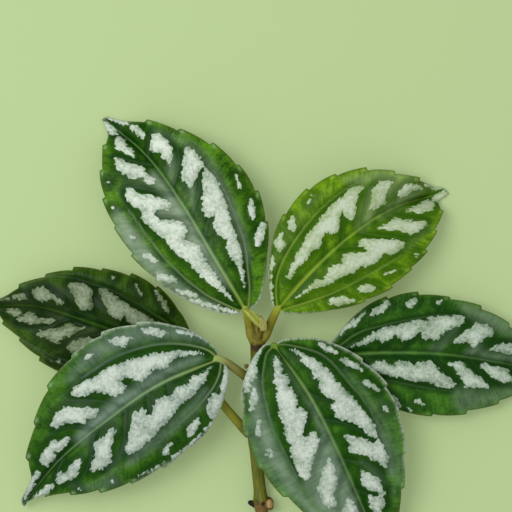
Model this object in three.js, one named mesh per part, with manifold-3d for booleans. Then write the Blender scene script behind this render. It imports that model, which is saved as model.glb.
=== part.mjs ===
// Aluminum plant: a cut shoot of six patterned leaves, lying on its back with the leaves facing up.
// Millimetres, +Z up. The origin is the middle of the shoot's box, on the surface that it lies on.
// +X is across the spread of the leaves, and the stem's cut end points to -Y.

import * as THREE from 'three';
import { mergeVertices } from 'three/addons/utils/BufferGeometryUtils.js';
import Module from 'manifold-3d';

const wasm = await Module();
wasm.setup();

// Driving dimensions
const BLADE = 0.8;              // thickness of a leaf blade
const CLEARANCE = 0.3;          // between one piece and the next
const PETIOLE_RADIUS = 1.15;    // leaf stalk, at the blade
const CUSHION_RADIUS = 1.4;     // leaf stalk, where it leaves the stem
const CUSHION_SIDES = 10;
const CUSHION_STEPS = 3;
const STALK_STEP = 4;           // between the rings of a leaf stalk
const STEM_RADIUS = 1.9;
const STEM_SIDES = 12;
const STEM_STEPS = 28;
const COLUMNS = 11;             // of points across a leaf, on each face

// Leaf surface
const FIRST_TOOTH = 0.28;       // place along the margin where the teeth begin
const LAST_TOOTH = 0.86;        // and where they end
const TEETH = 6;                // on each margin
const TOOTH_DEPTH = 1.0;
const NOTCH = 0.92;             // share of a tooth that rises before it steps back in
const VEIN_LEAN = 0.13;         // how far the side veins start behind their place on the margin
const LATERAL = 0.58;           // place of the two long side veins between midrib and margin
const CREST_INNER = 0.33;       // crest of the swollen band inside a long side vein
const CREST_OUTER = 0.8;        // crest of the band outside it
const SWELL_INNER = 0.9;        // height of the inner band over its veins
const SWELL_OUTER = 0.5;        // height of the outer band
const SWELL_FULL_WIDTH = 12;    // half width of leaf at which the bands reach full height
const GROOVE = 0.35;            // depth of the midrib's groove
const KEEL_DEPTH = 1.0;         // of the rib under the blade, at its base
const KEEL_HALF_WIDTH = 1.3;
const SAG_SPAN = 20;            // distance from the midrib at which a leaf's sag is measured
const BASE_STATIONS = [0.055, 0.095, 0.14, 0.185, 0.235];
const TIP_STATIONS = [0.9, 0.935, 0.965, 0.99];

// Stem axis from the cut end to the leafy end. The nodes are where the leaves stand.
const CUT_END = [-1.7, -63.6, 1.9];
const OLD_NODE = [-2.7, -50.2, 2.9];
const LOW_NODE = [-4.4, -31.2, 5.0];
const MIDDLE_NODE = [-4.25, -12.4, 7.3];
const TOP_NODE = [-3.8, -2.1, 9.5];
const STEM_END = [-3.7, 0.2, 10.1];
const NODE_SWELLS = [           // place along the axis as a share of its length, growth, half length
  [0.215, 0.55, 2.2],
  [0.51, 0.4, 2.6],
  [0.805, 0.3, 2.6],
  [0.965, 0.25, 2.6],
];

// Leaves. base and tip are in plan. The midrib is given at the quarters of its length, as its bow
// to the left and its height. The margins are read from base to tip, as along and across the leaf.
// sag is the fall of the blade at SAG_SPAN, and lead is the shift of a margin's teeth to the tip.
const LEAVES = [
  {
    name: 'leaf_top_left', colour: 0x39641f, stalk: [[-5.2, -2.3, 9.9]],
    base: [-7.2, 8.2], tip: [-50.7, 66.4], sag: 2.4,
    midrib: [[0, 12.5], [-1.8, 14.4], [-3.7, 12.8], [-3.9, 7.8], [0, -5]],
    left: [[3.5, 6], [15, 13], [29.5, 16.5], [44, 16], [56.5, 11.5], [65.5, 4]], leadLeft: 0,
    right: [[0.5, -5.5], [8, -13.5], [19, -21], [32.5, -24], [47.5, -20.5], [62, -11]], leadRight: 0.045,
  },
  {
    name: 'leaf_top_right', colour: 0x4a7a18, stalk: [[-2.7, -2.3, 9.9]],
    base: [2, 8.5], tip: [54.1, 44], sag: 2.4,
    midrib: [[0, 12.5], [3.9, 14.2], [6, 12.6], [5.3, 7.6], [0, -5]],
    left: [[0.5, 4], [7.5, 15], [18.5, 22], [32.5, 24], [46, 19], [56, 9.5]], leadLeft: 0.055,
    right: [[3, -3.5], [14.5, -9.5], [28.5, -13], [40.5, -12], [50, -8.5], [58, -3]], leadRight: 0,
  },
  {
    name: 'leaf_front_left', colour: 0x2f5416, stalk: [[-4.9, -13.4, 7.3]],
    base: [-15.3, -6.1], tip: [-74.9, -50.9], sag: 2,
    midrib: [[0, 13.5], [-4.7, 15.2], [-5.5, 14.2], [-4.5, 10], [0, 3]],
    left: [[0.5, 5.5], [11.5, 13.5], [25.5, 15.5], [41, 14], [54.5, 8.5], [65.5, 1.5]], leadLeft: 0.028,
    right: [[-1, -4], [3, -14], [14, -23], [29, -27], [46.5, -23], [62, -12]], leadRight: 0.055,
  },
  {
    name: 'leaf_front_right', colour: 0x335b1d, stalk: [[-3.6, -12.3, 7.6], [-0.6, -8.6, 10.2]],
    base: [1.1, -2.2], tip: [34.7, -66.7], sag: 2.2,
    midrib: [[0, 13.5], [2.5, 15.2], [2.4, 14.6], [1.2, 11], [0, 4.5]],
    left: [[0, 4.5], [6, 14.5], [20, 22.5], [34.5, 23.5], [50, 17.5], [62.5, 8.5]], leadLeft: 0.02,
    right: [[-1.5, -3], [3.5, -11], [16, -18], [31, -20], [47, -15], [63, -7]], leadRight: 0.005,
  },
  {
    name: 'leaf_back_left', colour: 0x274010, stalk: [[-4.9, -31, 5.1], [-14.5, -19.7, 6.2]],
    base: [-23.2, -7.3], tip: [-86.9, 9.4], sag: 2.2,
    midrib: [[0, 7.5], [-2.4, 9], [-3.7, 8.4], [-4.2, 5.4], [0, 1.2]],
    left: [[1.5, 5.5], [8.5, 12.5], [19, 16], [31.5, 14.5], [45.5, 10], [57, 3.5]], leadLeft: 0.05,
    right: [[1, -5], [7, -13], [17.5, -19], [30, -20], [43, -17], [55, -9.5]], leadRight: 0.045,
  },
  {
    name: 'leaf_back_right', colour: 0x375727, stalk: [[-3.9, -31, 5.1], [6.5, -19, 6.2]],
    base: [15.6, -5.5], tip: [86.9, -11.2], sag: 2.2,
    midrib: [[0, 7.5], [2.5, 9.2], [3.5, 8.6], [2.2, 5.6], [0, 1.2]],
    left: [[3, 5], [10.5, 14.5], [23, 20], [37, 20], [51, 16], [63, 7.5]], leadLeft: 0.005,
    right: [[2, -4.5], [10, -10.5], [22.5, -14], [37, -14.5], [51.5, -10.5], [63, -4]], leadRight: -0.02,
  },
];

// Young growth between the two top leaves, and the buds and scar on the stem
const YOUNG_LEAF = {
  path: [[-1.6, 2.7, 13.4], [-3.3, 4.9, 14.1], [-5.5, 6.8, 14.6], [-7.7, 8.4, 14.5]],
  widths: [1.0, 1.55, 1.35, 0.7], fold: 0.5, thickness: 0.7,
};
const BUD_SCALE = {
  path: [[-1.9, 2.3, 14.6], [-2.2, 3.8, 15.3], [-2.6, 5.2, 15.6], [-3.1, 6.6, 15.4]],
  widths: [0.9, 1.1, 0.75, 0.2], fold: 0.35, thickness: 0.65,
};
const END_BUD = { path: [[-3.6, 0.7, 11.6], [-3.6, 2.2, 11.7], [-3.7, 4.2, 11.7]], radii: [0.85, 0.85, 0.25] };
const SIDE_BUD = { path: [[-6.8, -8.9, 9.8], [-7.2, -8.4, 9.9], [-7.8, -7.9, 10.0]], radii: [0.7, 0.7, 0.15] };
const OLD_BUD = { path: [[0.3, -50.6, 3.3], [0.9, -50.5, 3.4], [1.5, -50.4, 3.4]], radii: [1.7, 1.75, 1.0] };
const OLD_STUB = { path: [[-5.4, -50.6, 3.0], [-6.1, -50.3, 3.0], [-6.8, -50.0, 3.0]], radii: [0.9, 0.6, 0.15] };

const curve3 = (points) =>
  new THREE.CatmullRomCurve3(points.map((p) => new THREE.Vector3(...p)), false, 'catmullrom', 0.5);
const curve2 = (points) => new THREE.SplineCurve(points.map((p) => new THREE.Vector2(...p)));

const stemPath = curve3([CUT_END, OLD_NODE, LOW_NODE, MIDDLE_NODE, TOP_NODE, STEM_END]);
const stemAxis = stemPath.getSpacedPoints(120);

// Closed solid through rings. Each ring is a top row and a bottom row of points, both read from the
// left to the right of the way that the rings follow, with the same number of points in each.
function loft(rings) {
  const columns = rings[0].top.length;
  const top = (k, i) => 2 * columns * k + i;
  const bottom = (k, i) => top(k, i) + columns;
  const faces = [];
  const quad = (a, b, c, d) => faces.push(a, b, c, a, c, d);
  const last = rings.length - 1;
  const edge = columns - 1;
  for (let k = 0; k < last; k++) {
    for (let i = 0; i < edge; i++) {
      quad(top(k, i), top(k, i + 1), top(k + 1, i + 1), top(k + 1, i));
      faces.push(bottom(k, i), bottom(k + 1, i + 1), bottom(k, i + 1));
      faces.push(bottom(k, i), bottom(k + 1, i), bottom(k + 1, i + 1));
    }
    quad(top(k, 0), top(k + 1, 0), bottom(k + 1, 0), bottom(k, 0));
    quad(top(k, edge), bottom(k, edge), bottom(k + 1, edge), top(k + 1, edge));
  }
  for (let i = 0; i < edge; i++) {
    quad(top(0, i), bottom(0, i), bottom(0, i + 1), top(0, i + 1));
    quad(top(last, i), top(last, i + 1), bottom(last, i + 1), bottom(last, i));
  }
  const positions = rings.flatMap((ring) => [...ring.top, ...ring.bottom].flatMap((p) => p.toArray()));
  const geometry = new THREE.BufferGeometry();
  geometry.setAttribute('position', new THREE.Float32BufferAttribute(positions, 3));
  geometry.setIndex(faces);
  return geometry;
}

// Round ring of a stalk or stem at a point of its path, as the two rows that loft() takes
function roundRing(centre, tangent, radius, columns) {
  const left = new THREE.Vector3(-tangent.y, tangent.x, 0).normalize();
  const up = new THREE.Vector3().crossVectors(tangent, left);
  const step = Math.PI / columns;
  const point = (angle) => centre.clone()
    .addScaledVector(left, radius * Math.cos(angle))
    .addScaledVector(up, radius * Math.sin(angle));
  const angles = Array.from({ length: columns }, (_, i) => (i + 0.5) * step);
  return { top: angles.map((angle) => point(angle)), bottom: angles.map((angle) => point(-angle)) };
}

// Round piece along a path, with its radius given by the share of the path
function roundPiece(path, radiusAt, steps, columns) {
  const rings = [];
  for (let k = 0; k <= steps; k++) {
    const share = k / steps;
    rings.push(roundRing(path.getPointAt(share), path.getTangentAt(share), radiusAt(share), columns));
  }
  return loft(rings);
}

const toSolid = (geometry) => {
  const closed = mergeVertices(geometry.index ? geometry : geometry.clone());
  return new wasm.Manifold(new wasm.Mesh({
    numProp: 3,
    vertProperties: Float32Array.from(closed.attributes.position.array),
    triVerts: Uint32Array.from(closed.index.array),
  }));
};

function fromSolid(solid) {
  const mesh = solid.getMesh();
  const geometry = new THREE.BufferGeometry();
  geometry.setAttribute('position', new THREE.BufferAttribute(mesh.vertProperties, 3));
  geometry.setIndex(new THREE.BufferAttribute(mesh.triVerts, 1));
  return geometry;
}

// Leaf stalk: from the stem through its own points to the blade, running on under the midrib.
// It belongs to the stem until it is clear of it, and to the leaf from there.
function stalkOf(leaf, placed, midrib) {
  const drop = PETIOLE_RADIUS * 0.6;
  const onBlade = [0, 0.08].map((share) => {
    const point = midrib.getPoint(share);
    return placed.localToWorld(new THREE.Vector3(point.x, point.y, point.z - drop)).toArray();
  });
  const points = [...leaf.stalk, ...onBlade];
  const path = curve3(points);
  const toBlade = (points.length - 2) / (points.length - 1);
  const reach = STEM_RADIUS + CUSHION_RADIUS + CLEARANCE;
  let clear = 0;
  while (stemAxis.some((point) => point.distanceTo(path.getPoint(clear)) < reach)) {
    clear += 0.005;
  }
  let start = clear;
  while (path.getPoint(start).distanceTo(path.getPoint(clear)) < CLEARANCE) {
    start += 0.002;
  }
  return { path, clear, start, toBlade };
}

// One margin tooth: a round rise towards the tip, then a short step back in
function tooth(phase) {
  return phase < NOTCH ? Math.pow(phase / NOTCH, 0.7) : (1 - phase) / (1 - NOTCH);
}

// Ring of the blade at a station between base (0) and tip (1)
function bladeRing(leaf, midrib, margins, station) {
  const lean = Math.sin(Math.PI * station);
  const middle = midrib.getPoint(station - VEIN_LEAN * lean);
  const count = (station - FIRST_TOOTH) / (LAST_TOOTH - FIRST_TOOTH) * TEETH;
  const phase = Math.max(0, count - Math.floor(count + 1e-6));
  const toothed = count > -1e-6 && count < TEETH - 1e-6;
  const growth = toothed ? TOOTH_DEPTH * tooth(phase) : 0;
  const cell = 0.45 + 0.55 * Math.sin(Math.PI * phase) ** 2;
  const halves = margins.map(({ curve, lead }) => {
    const edge = curve.getPoint(station + lead * lean);
    return new THREE.Vector2(edge.x - middle.x, edge.y - middle.y);
  });
  const ribShare = Math.min(KEEL_HALF_WIDTH * (1 - 0.6 * station) / halves[0].length(), 0.2);
  const shares = [1, CREST_OUTER, LATERAL, CREST_INNER, ribShare, 0,
    -ribShare, -CREST_INNER, -LATERAL, -CREST_OUTER, -1];
  const top = [];
  const bottom = [];
  for (const share of shares) {
    const half = halves[share >= 0 ? 0 : 1];
    const reach = half.length();
    const across = Math.abs(share);
    const stretch = across * (1 + growth * across ** 8 / reach);
    const band = across < LATERAL ? across / LATERAL : (across - LATERAL) / (1 - LATERAL);
    const swell = (across < LATERAL ? SWELL_INNER : SWELL_OUTER) * Math.min(1, reach / SWELL_FULL_WIDTH);
    const sag = leaf.sag * (across * reach / SAG_SPAN) ** 2;
    const onRib = share === 0;
    const fall = sag + (onRib ? GROOVE * Math.min(1, reach / SWELL_FULL_WIDTH) : 0);
    const height = middle.z - fall + swell * cell * Math.sin(Math.PI * band);
    const keel = onRib ? KEEL_DEPTH * (1 - 0.8 * station) : 0;
    const z = Math.max(height, BLADE);
    top.push(new THREE.Vector3(middle.x + half.x * stretch, middle.y + half.y * stretch, z));
    bottom.push(new THREE.Vector3(top.at(-1).x, top.at(-1).y, Math.max(z - BLADE - keel, 0)));
  }
  return { top, bottom };
}

// Leaf: its stalk and its blade as one solid, in the leaf's own frame
function leafPiece(leaf) {
  const placed = new THREE.Mesh();
  const chord = new THREE.Vector2(leaf.tip[0] - leaf.base[0], leaf.tip[1] - leaf.base[1]);
  placed.position.set(leaf.base[0], leaf.base[1], 0);
  placed.rotation.z = chord.angle();
  placed.updateMatrixWorld();
  const length = chord.length();
  const midrib = curve3(leaf.midrib.map(([bow, height], i) => [length * i / 4, bow, height]));
  const margins = [
    { curve: curve2([[0, 0], ...leaf.left, [length, 0]]), lead: leaf.leadLeft },
    { curve: curve2([[0, 0], ...leaf.right, [length, 0]]), lead: leaf.leadRight },
  ];
  const stalk = stalkOf(leaf, placed, midrib);
  const rings = [];
  const run = stalk.path.getPoint(stalk.start).distanceTo(stalk.path.getPoint(stalk.toBlade));
  const steps = Math.ceil(run / STALK_STEP);
  for (let k = 0; k <= steps; k++) {
    const t = THREE.MathUtils.lerp(stalk.start, stalk.toBlade, k / steps);
    const radius = THREE.MathUtils.lerp(CUSHION_RADIUS, PETIOLE_RADIUS, k / steps);
    const ring = roundRing(stalk.path.getPoint(t), stalk.path.getTangent(t), radius, COLUMNS);
    [...ring.top, ...ring.bottom].forEach((point) => placed.worldToLocal(point));
    rings.push(ring);
  }
  const pitch = (LAST_TOOTH - FIRST_TOOTH) / TEETH;
  const toothStations = Array.from({ length: TEETH }, (_, k) =>
    [0, 0.5, NOTCH].map((phase) => FIRST_TOOTH + (k + phase) * pitch)).flat();
  for (const station of [...BASE_STATIONS, ...toothStations, LAST_TOOTH, ...TIP_STATIONS]) {
    rings.push(bladeRing(leaf, midrib, margins, station));
  }
  placed.geometry = loft(rings);
  return { mesh: placed, stalk };
}

// Cushion: the first stretch of a leaf stalk, grown together with the stem
function cushionSolid({ stalk: { path, clear } }) {
  const rings = [];
  for (let k = 0; k <= CUSHION_STEPS; k++) {
    const t = clear * k / CUSHION_STEPS;
    rings.push(roundRing(path.getPoint(t), path.getTangent(t), CUSHION_RADIUS, CUSHION_SIDES / 2));
  }
  return toSolid(loft(rings));
}

// Stem: a slightly bent rod that swells at each node, with a flat cut end
function stemPiece(leaves) {
  const length = stemPath.getLength();
  const radiusAt = (share) => NODE_SWELLS.reduce(
    (radius, [place, growth, reach]) => radius + growth * Math.exp(-(((share - place) * length / reach) ** 2)),
    STEM_RADIUS,
  );
  const rod = toSolid(roundPiece(stemPath, radiusAt, STEM_STEPS, STEM_SIDES / 2));
  return fromSolid(leaves.reduce((solid, leaf) => solid.add(cushionSolid(leaf)), rod));
}

// Small folded leaf or scale along a path, with the widths of its halves given at even steps
function foldedPiece({ path, widths, fold, thickness }, steps, columns) {
  const curve = curve3(path);
  const widthAt = curve3(widths.map((width, i) => [i, width, 0]));
  const rings = [];
  for (let k = 0; k <= steps; k++) {
    const share = k / steps;
    const centre = curve.getPoint(share);
    const tangent = curve.getTangent(share);
    const left = new THREE.Vector3(-tangent.y, tangent.x, 0).normalize();
    const up = new THREE.Vector3().crossVectors(tangent, left);
    const half = widthAt.getPoint(share).y;
    const rows = { top: [], bottom: [] };
    for (let i = 0; i < columns; i++) {
      const across = 1 - 2 * i / (columns - 1);
      const point = centre.clone().addScaledVector(left, half * across);
      point.addScaledVector(up, -fold * across ** 2);
      rows.top.push(point);
      rows.bottom.push(point.clone().addScaledVector(up, -thickness));
    }
    rings.push(rows);
  }
  return loft(rings);
}

// Bud, stub or other small round piece along a short path, with its radii given at even steps
function budPiece({ path, radii }, steps, columns) {
  const radiusAt = curve3(radii.map((radius, i) => [i, radius, 0]));
  return roundPiece(curve3(path), (share) => radiusAt.getPoint(share).y, steps, columns);
}

const plant = new THREE.Group();

function addPiece(name, geometry, colour, roughness) {
  const mesh = new THREE.Mesh(geometry, new THREE.MeshStandardMaterial({ color: colour, roughness, metalness: 0 }));
  mesh.name = name;
  plant.add(mesh);
  return mesh;
}

const leaves = LEAVES.map(leafPiece);
addPiece('stem', stemPiece(leaves), 0x5c6122, 0.5);
leaves.forEach(({ mesh }, i) => {
  const placed = addPiece(LEAVES[i].name, mesh.geometry, LEAVES[i].colour, 0.4);
  placed.position.copy(mesh.position);
  placed.rotation.copy(mesh.rotation);
});
addPiece('young_leaf', foldedPiece(YOUNG_LEAF, 8, 7), 0x8c8f38, 0.45);
addPiece('bud_scale', foldedPiece(BUD_SCALE, 6, 5), 0x9a8f50, 0.55);
addPiece('end_bud', budPiece(END_BUD, 6, 5), 0x4a4610, 0.6);
addPiece('side_bud', budPiece(SIDE_BUD, 4, 4), 0x5a4a20, 0.6);
addPiece('old_bud', budPiece(OLD_BUD, 5, 6), 0x8a6a3c, 0.75);
addPiece('old_stub', budPiece(OLD_STUB, 4, 4), 0x141210, 0.8);

export default plant;
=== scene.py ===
"""Cut shoot of an aluminum plant, lying on its back with six silver-patterned leaves facing up.

Places are in millimetres in the frame's axes until a mesh is made. A leaf's own frame starts at its
base, with x along the leaf to its tip and y to its left. A station is a place along the leaf, from 0
at its base to 1 at its tip.
"""

from types import SimpleNamespace

import bpy
import numpy as np
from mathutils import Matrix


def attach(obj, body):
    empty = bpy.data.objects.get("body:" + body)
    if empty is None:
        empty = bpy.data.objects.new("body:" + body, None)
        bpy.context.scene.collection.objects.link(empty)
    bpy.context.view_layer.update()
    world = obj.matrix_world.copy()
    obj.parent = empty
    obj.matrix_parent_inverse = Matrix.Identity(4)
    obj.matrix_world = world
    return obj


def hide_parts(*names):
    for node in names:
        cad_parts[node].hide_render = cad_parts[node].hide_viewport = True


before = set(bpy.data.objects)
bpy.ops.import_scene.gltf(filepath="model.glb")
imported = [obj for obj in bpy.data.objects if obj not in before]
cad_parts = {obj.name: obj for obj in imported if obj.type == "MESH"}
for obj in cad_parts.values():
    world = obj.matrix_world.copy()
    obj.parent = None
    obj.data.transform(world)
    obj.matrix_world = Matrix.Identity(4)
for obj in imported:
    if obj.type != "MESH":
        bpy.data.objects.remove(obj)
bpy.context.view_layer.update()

MM = 0.001

# Leaf blade
BLADE = 0.8                 # thickness of the blade
RIM = 0.34                  # and of its edge
RIM_BULGE = 0.1             # how far the rounded edge stands out
EDGE_TAPER = 1.6            # distance from the edge at which the blade has its full thickness
SAG_SPAN = 20               # distance from the midrib at which a leaf's sag is measured
NECK = 0.91                 # station where a leaf is narrowest before its tip
NECK_REACH = 0.035          # and how far each way it narrows
TIP_ROUND = 1.25            # half width of the blunt tip
TIP_BLEND = (0.88, 0.95)    # stations between which it takes over from the margins
TIP_SPAN = 0.07             # last share of a leaf, in which it is rounded off
COLUMNS = 93                # of points across a leaf, on each face
CROWDING = 1.25             # power by which they crowd towards the midrib

# Teeth on the margins
FIRST_TOOTH = 0.28          # station where they begin
LAST_TOOTH = 0.86           # and where they end
TEETH = 6                   # on each margin
TOOTH_DEPTH = 1.0
TOOTH_SHARES = (0.9, 1.05, 0.75, 1.1, 0.85, 1.0)     # of that depth, from the base to the tip
TOOTH_FADE = 8              # power by which a tooth fades towards the midrib
NOTCH = 0.92                # share of a tooth that rises before it steps back in

# Veins, and the bands that swell between them
VEIN_LEAN = 0.13            # how far the side veins start behind their station on the margin, in mid leaf
VEIN_RANGE = (0.12, 0.85)   # shares of the half width between which a long side vein is kept
VEIN_OUT = 0.97             # share to which it runs out towards the tip
VEIN_LINE = 0.28            # reach of a side vein's pale line to each side
VEIN_TROUGH = 1.0           # and of the trough round it, sunk in the relief and darkened with painted shade
EDGE_LINE = 0.3             # reach of the dark olive line along the edge
HEM_LINE = 0.38             # and of the thin silver line there
SWELL_INNER = 1.15          # height of the band between the midrib and a long side vein
SWELL_OUTER = 0.65          # height of the band outside it
SWELL_FULL_WIDTH = 12       # half width of leaf at which the bands reach full height
OUTER_END = (0.58, 0.8)     # stations between which the outer band ends
SINK = 0.34                 # how far the bands start below the midrib
GROOVE = 0.35               # depth of the midrib's groove
GROOVE_REACH = 0.7          # and its reach to each side
SIDE_GROOVE = 0.3           # depth of the side veins' grooves
KEEL_DEPTH = 1.0            # of the rib under the midrib, at the leaf's base
KEEL_REACH = 0.95           # and its reach to each side
RIB_ROOT = 0.5              # radius of a long side vein's rib under the blade, where it starts
RIB_END = 0.18              # and where it ends
SHORT_RIB = 0.6             # share of both for a short side vein

# Silver and sheen
BLISTER = 0.42              # how far the silver patches stand up
FAR = 3                     # distance from the silver past which it isn't measured
PAINTED_SHEEN_FADE = (-2.0, 2.4)    # distances inside a painted sheen's outline between which it comes up

# Leaf stalk
PETIOLE_RADIUS = 1.15       # leaf stalk, where it meets the blade
CUSHION_RADIUS = 1.4        # and where it leaves its cushion on the stem
CUSHION_GAP = 0.3           # room between stem and stalk where the stalk is clear of its cushion
CUSHION_PAST = 0.05         # share of the stalk's axis by which the cushion runs on past there
STALK_BEFORE = 0.06         # and by which the stalk starts before there
STALK_STEP = 0.8            # between the rings of a leaf stalk
CHANNEL = 0.16              # depth of the channel along its top, as a share of its radius
CHANNEL_REACH = 0.42        # and its reach to each side, in radians
BASE_SHARE = 0.08           # share of the midrib under which the stalk runs on
BASE_END = 0.055            # station where the stalk has become the blade

# Patterns in the skins, as so many to the millimetre
MOTTLES = 0.2               # lighter and darker green
GRAINS = 1.5                # fine grain all over a blade
STREAKS = (1.4, 0.196)      # streaks in the green: along the leaf, and out from the midrib
FIBRES = (1.1, 0.75)        # fibres in the silver, likewise
PORES = 2.0                 # pores in the silver
BLOTS = 0.9                 # ragged edges of the stem's and buds' marks
SPECKS = 2.5                # fine grain of stem and buds
DRAWN_OUT = 0.08            # width of a streak on stem and buds, as a share of its length

# Stem axis from the cut end to the leafy end
STEM_RADIUS = 1.9
STEM_POINTS = [(-1.7, -63.6, 1.9), (-2.7, -50.2, 2.9), (-4.4, -31.2, 5.0), (-4.25, -12.4, 7.3),
               (-3.8, -2.1, 9.5), (-3.7, 0.2, 10.1)]
NODE_SWELLS = [             # place along the axis as a share of its length, growth, half length
    (0.215, 0.55, 2.2), (0.51, 0.4, 2.6), (0.805, 0.3, 2.6), (0.965, 0.25, 2.6),
]
YOUNG_STEM = (-6, -1)       # places along y between which the stem's skin turns young
OLD_STEM = (-52, -48.5)     # and between which it stops being old
NODE_RING = (0.4, 1.1)      # dark ring at each node: strength, half length
TOP_RING = (-2.8, 1.0, 1.6)     # and under the end bud: place along y, strength, half length
STEM_GRAIN = 0.19           # width of the cells in which the stem and its cushions grow together
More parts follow.
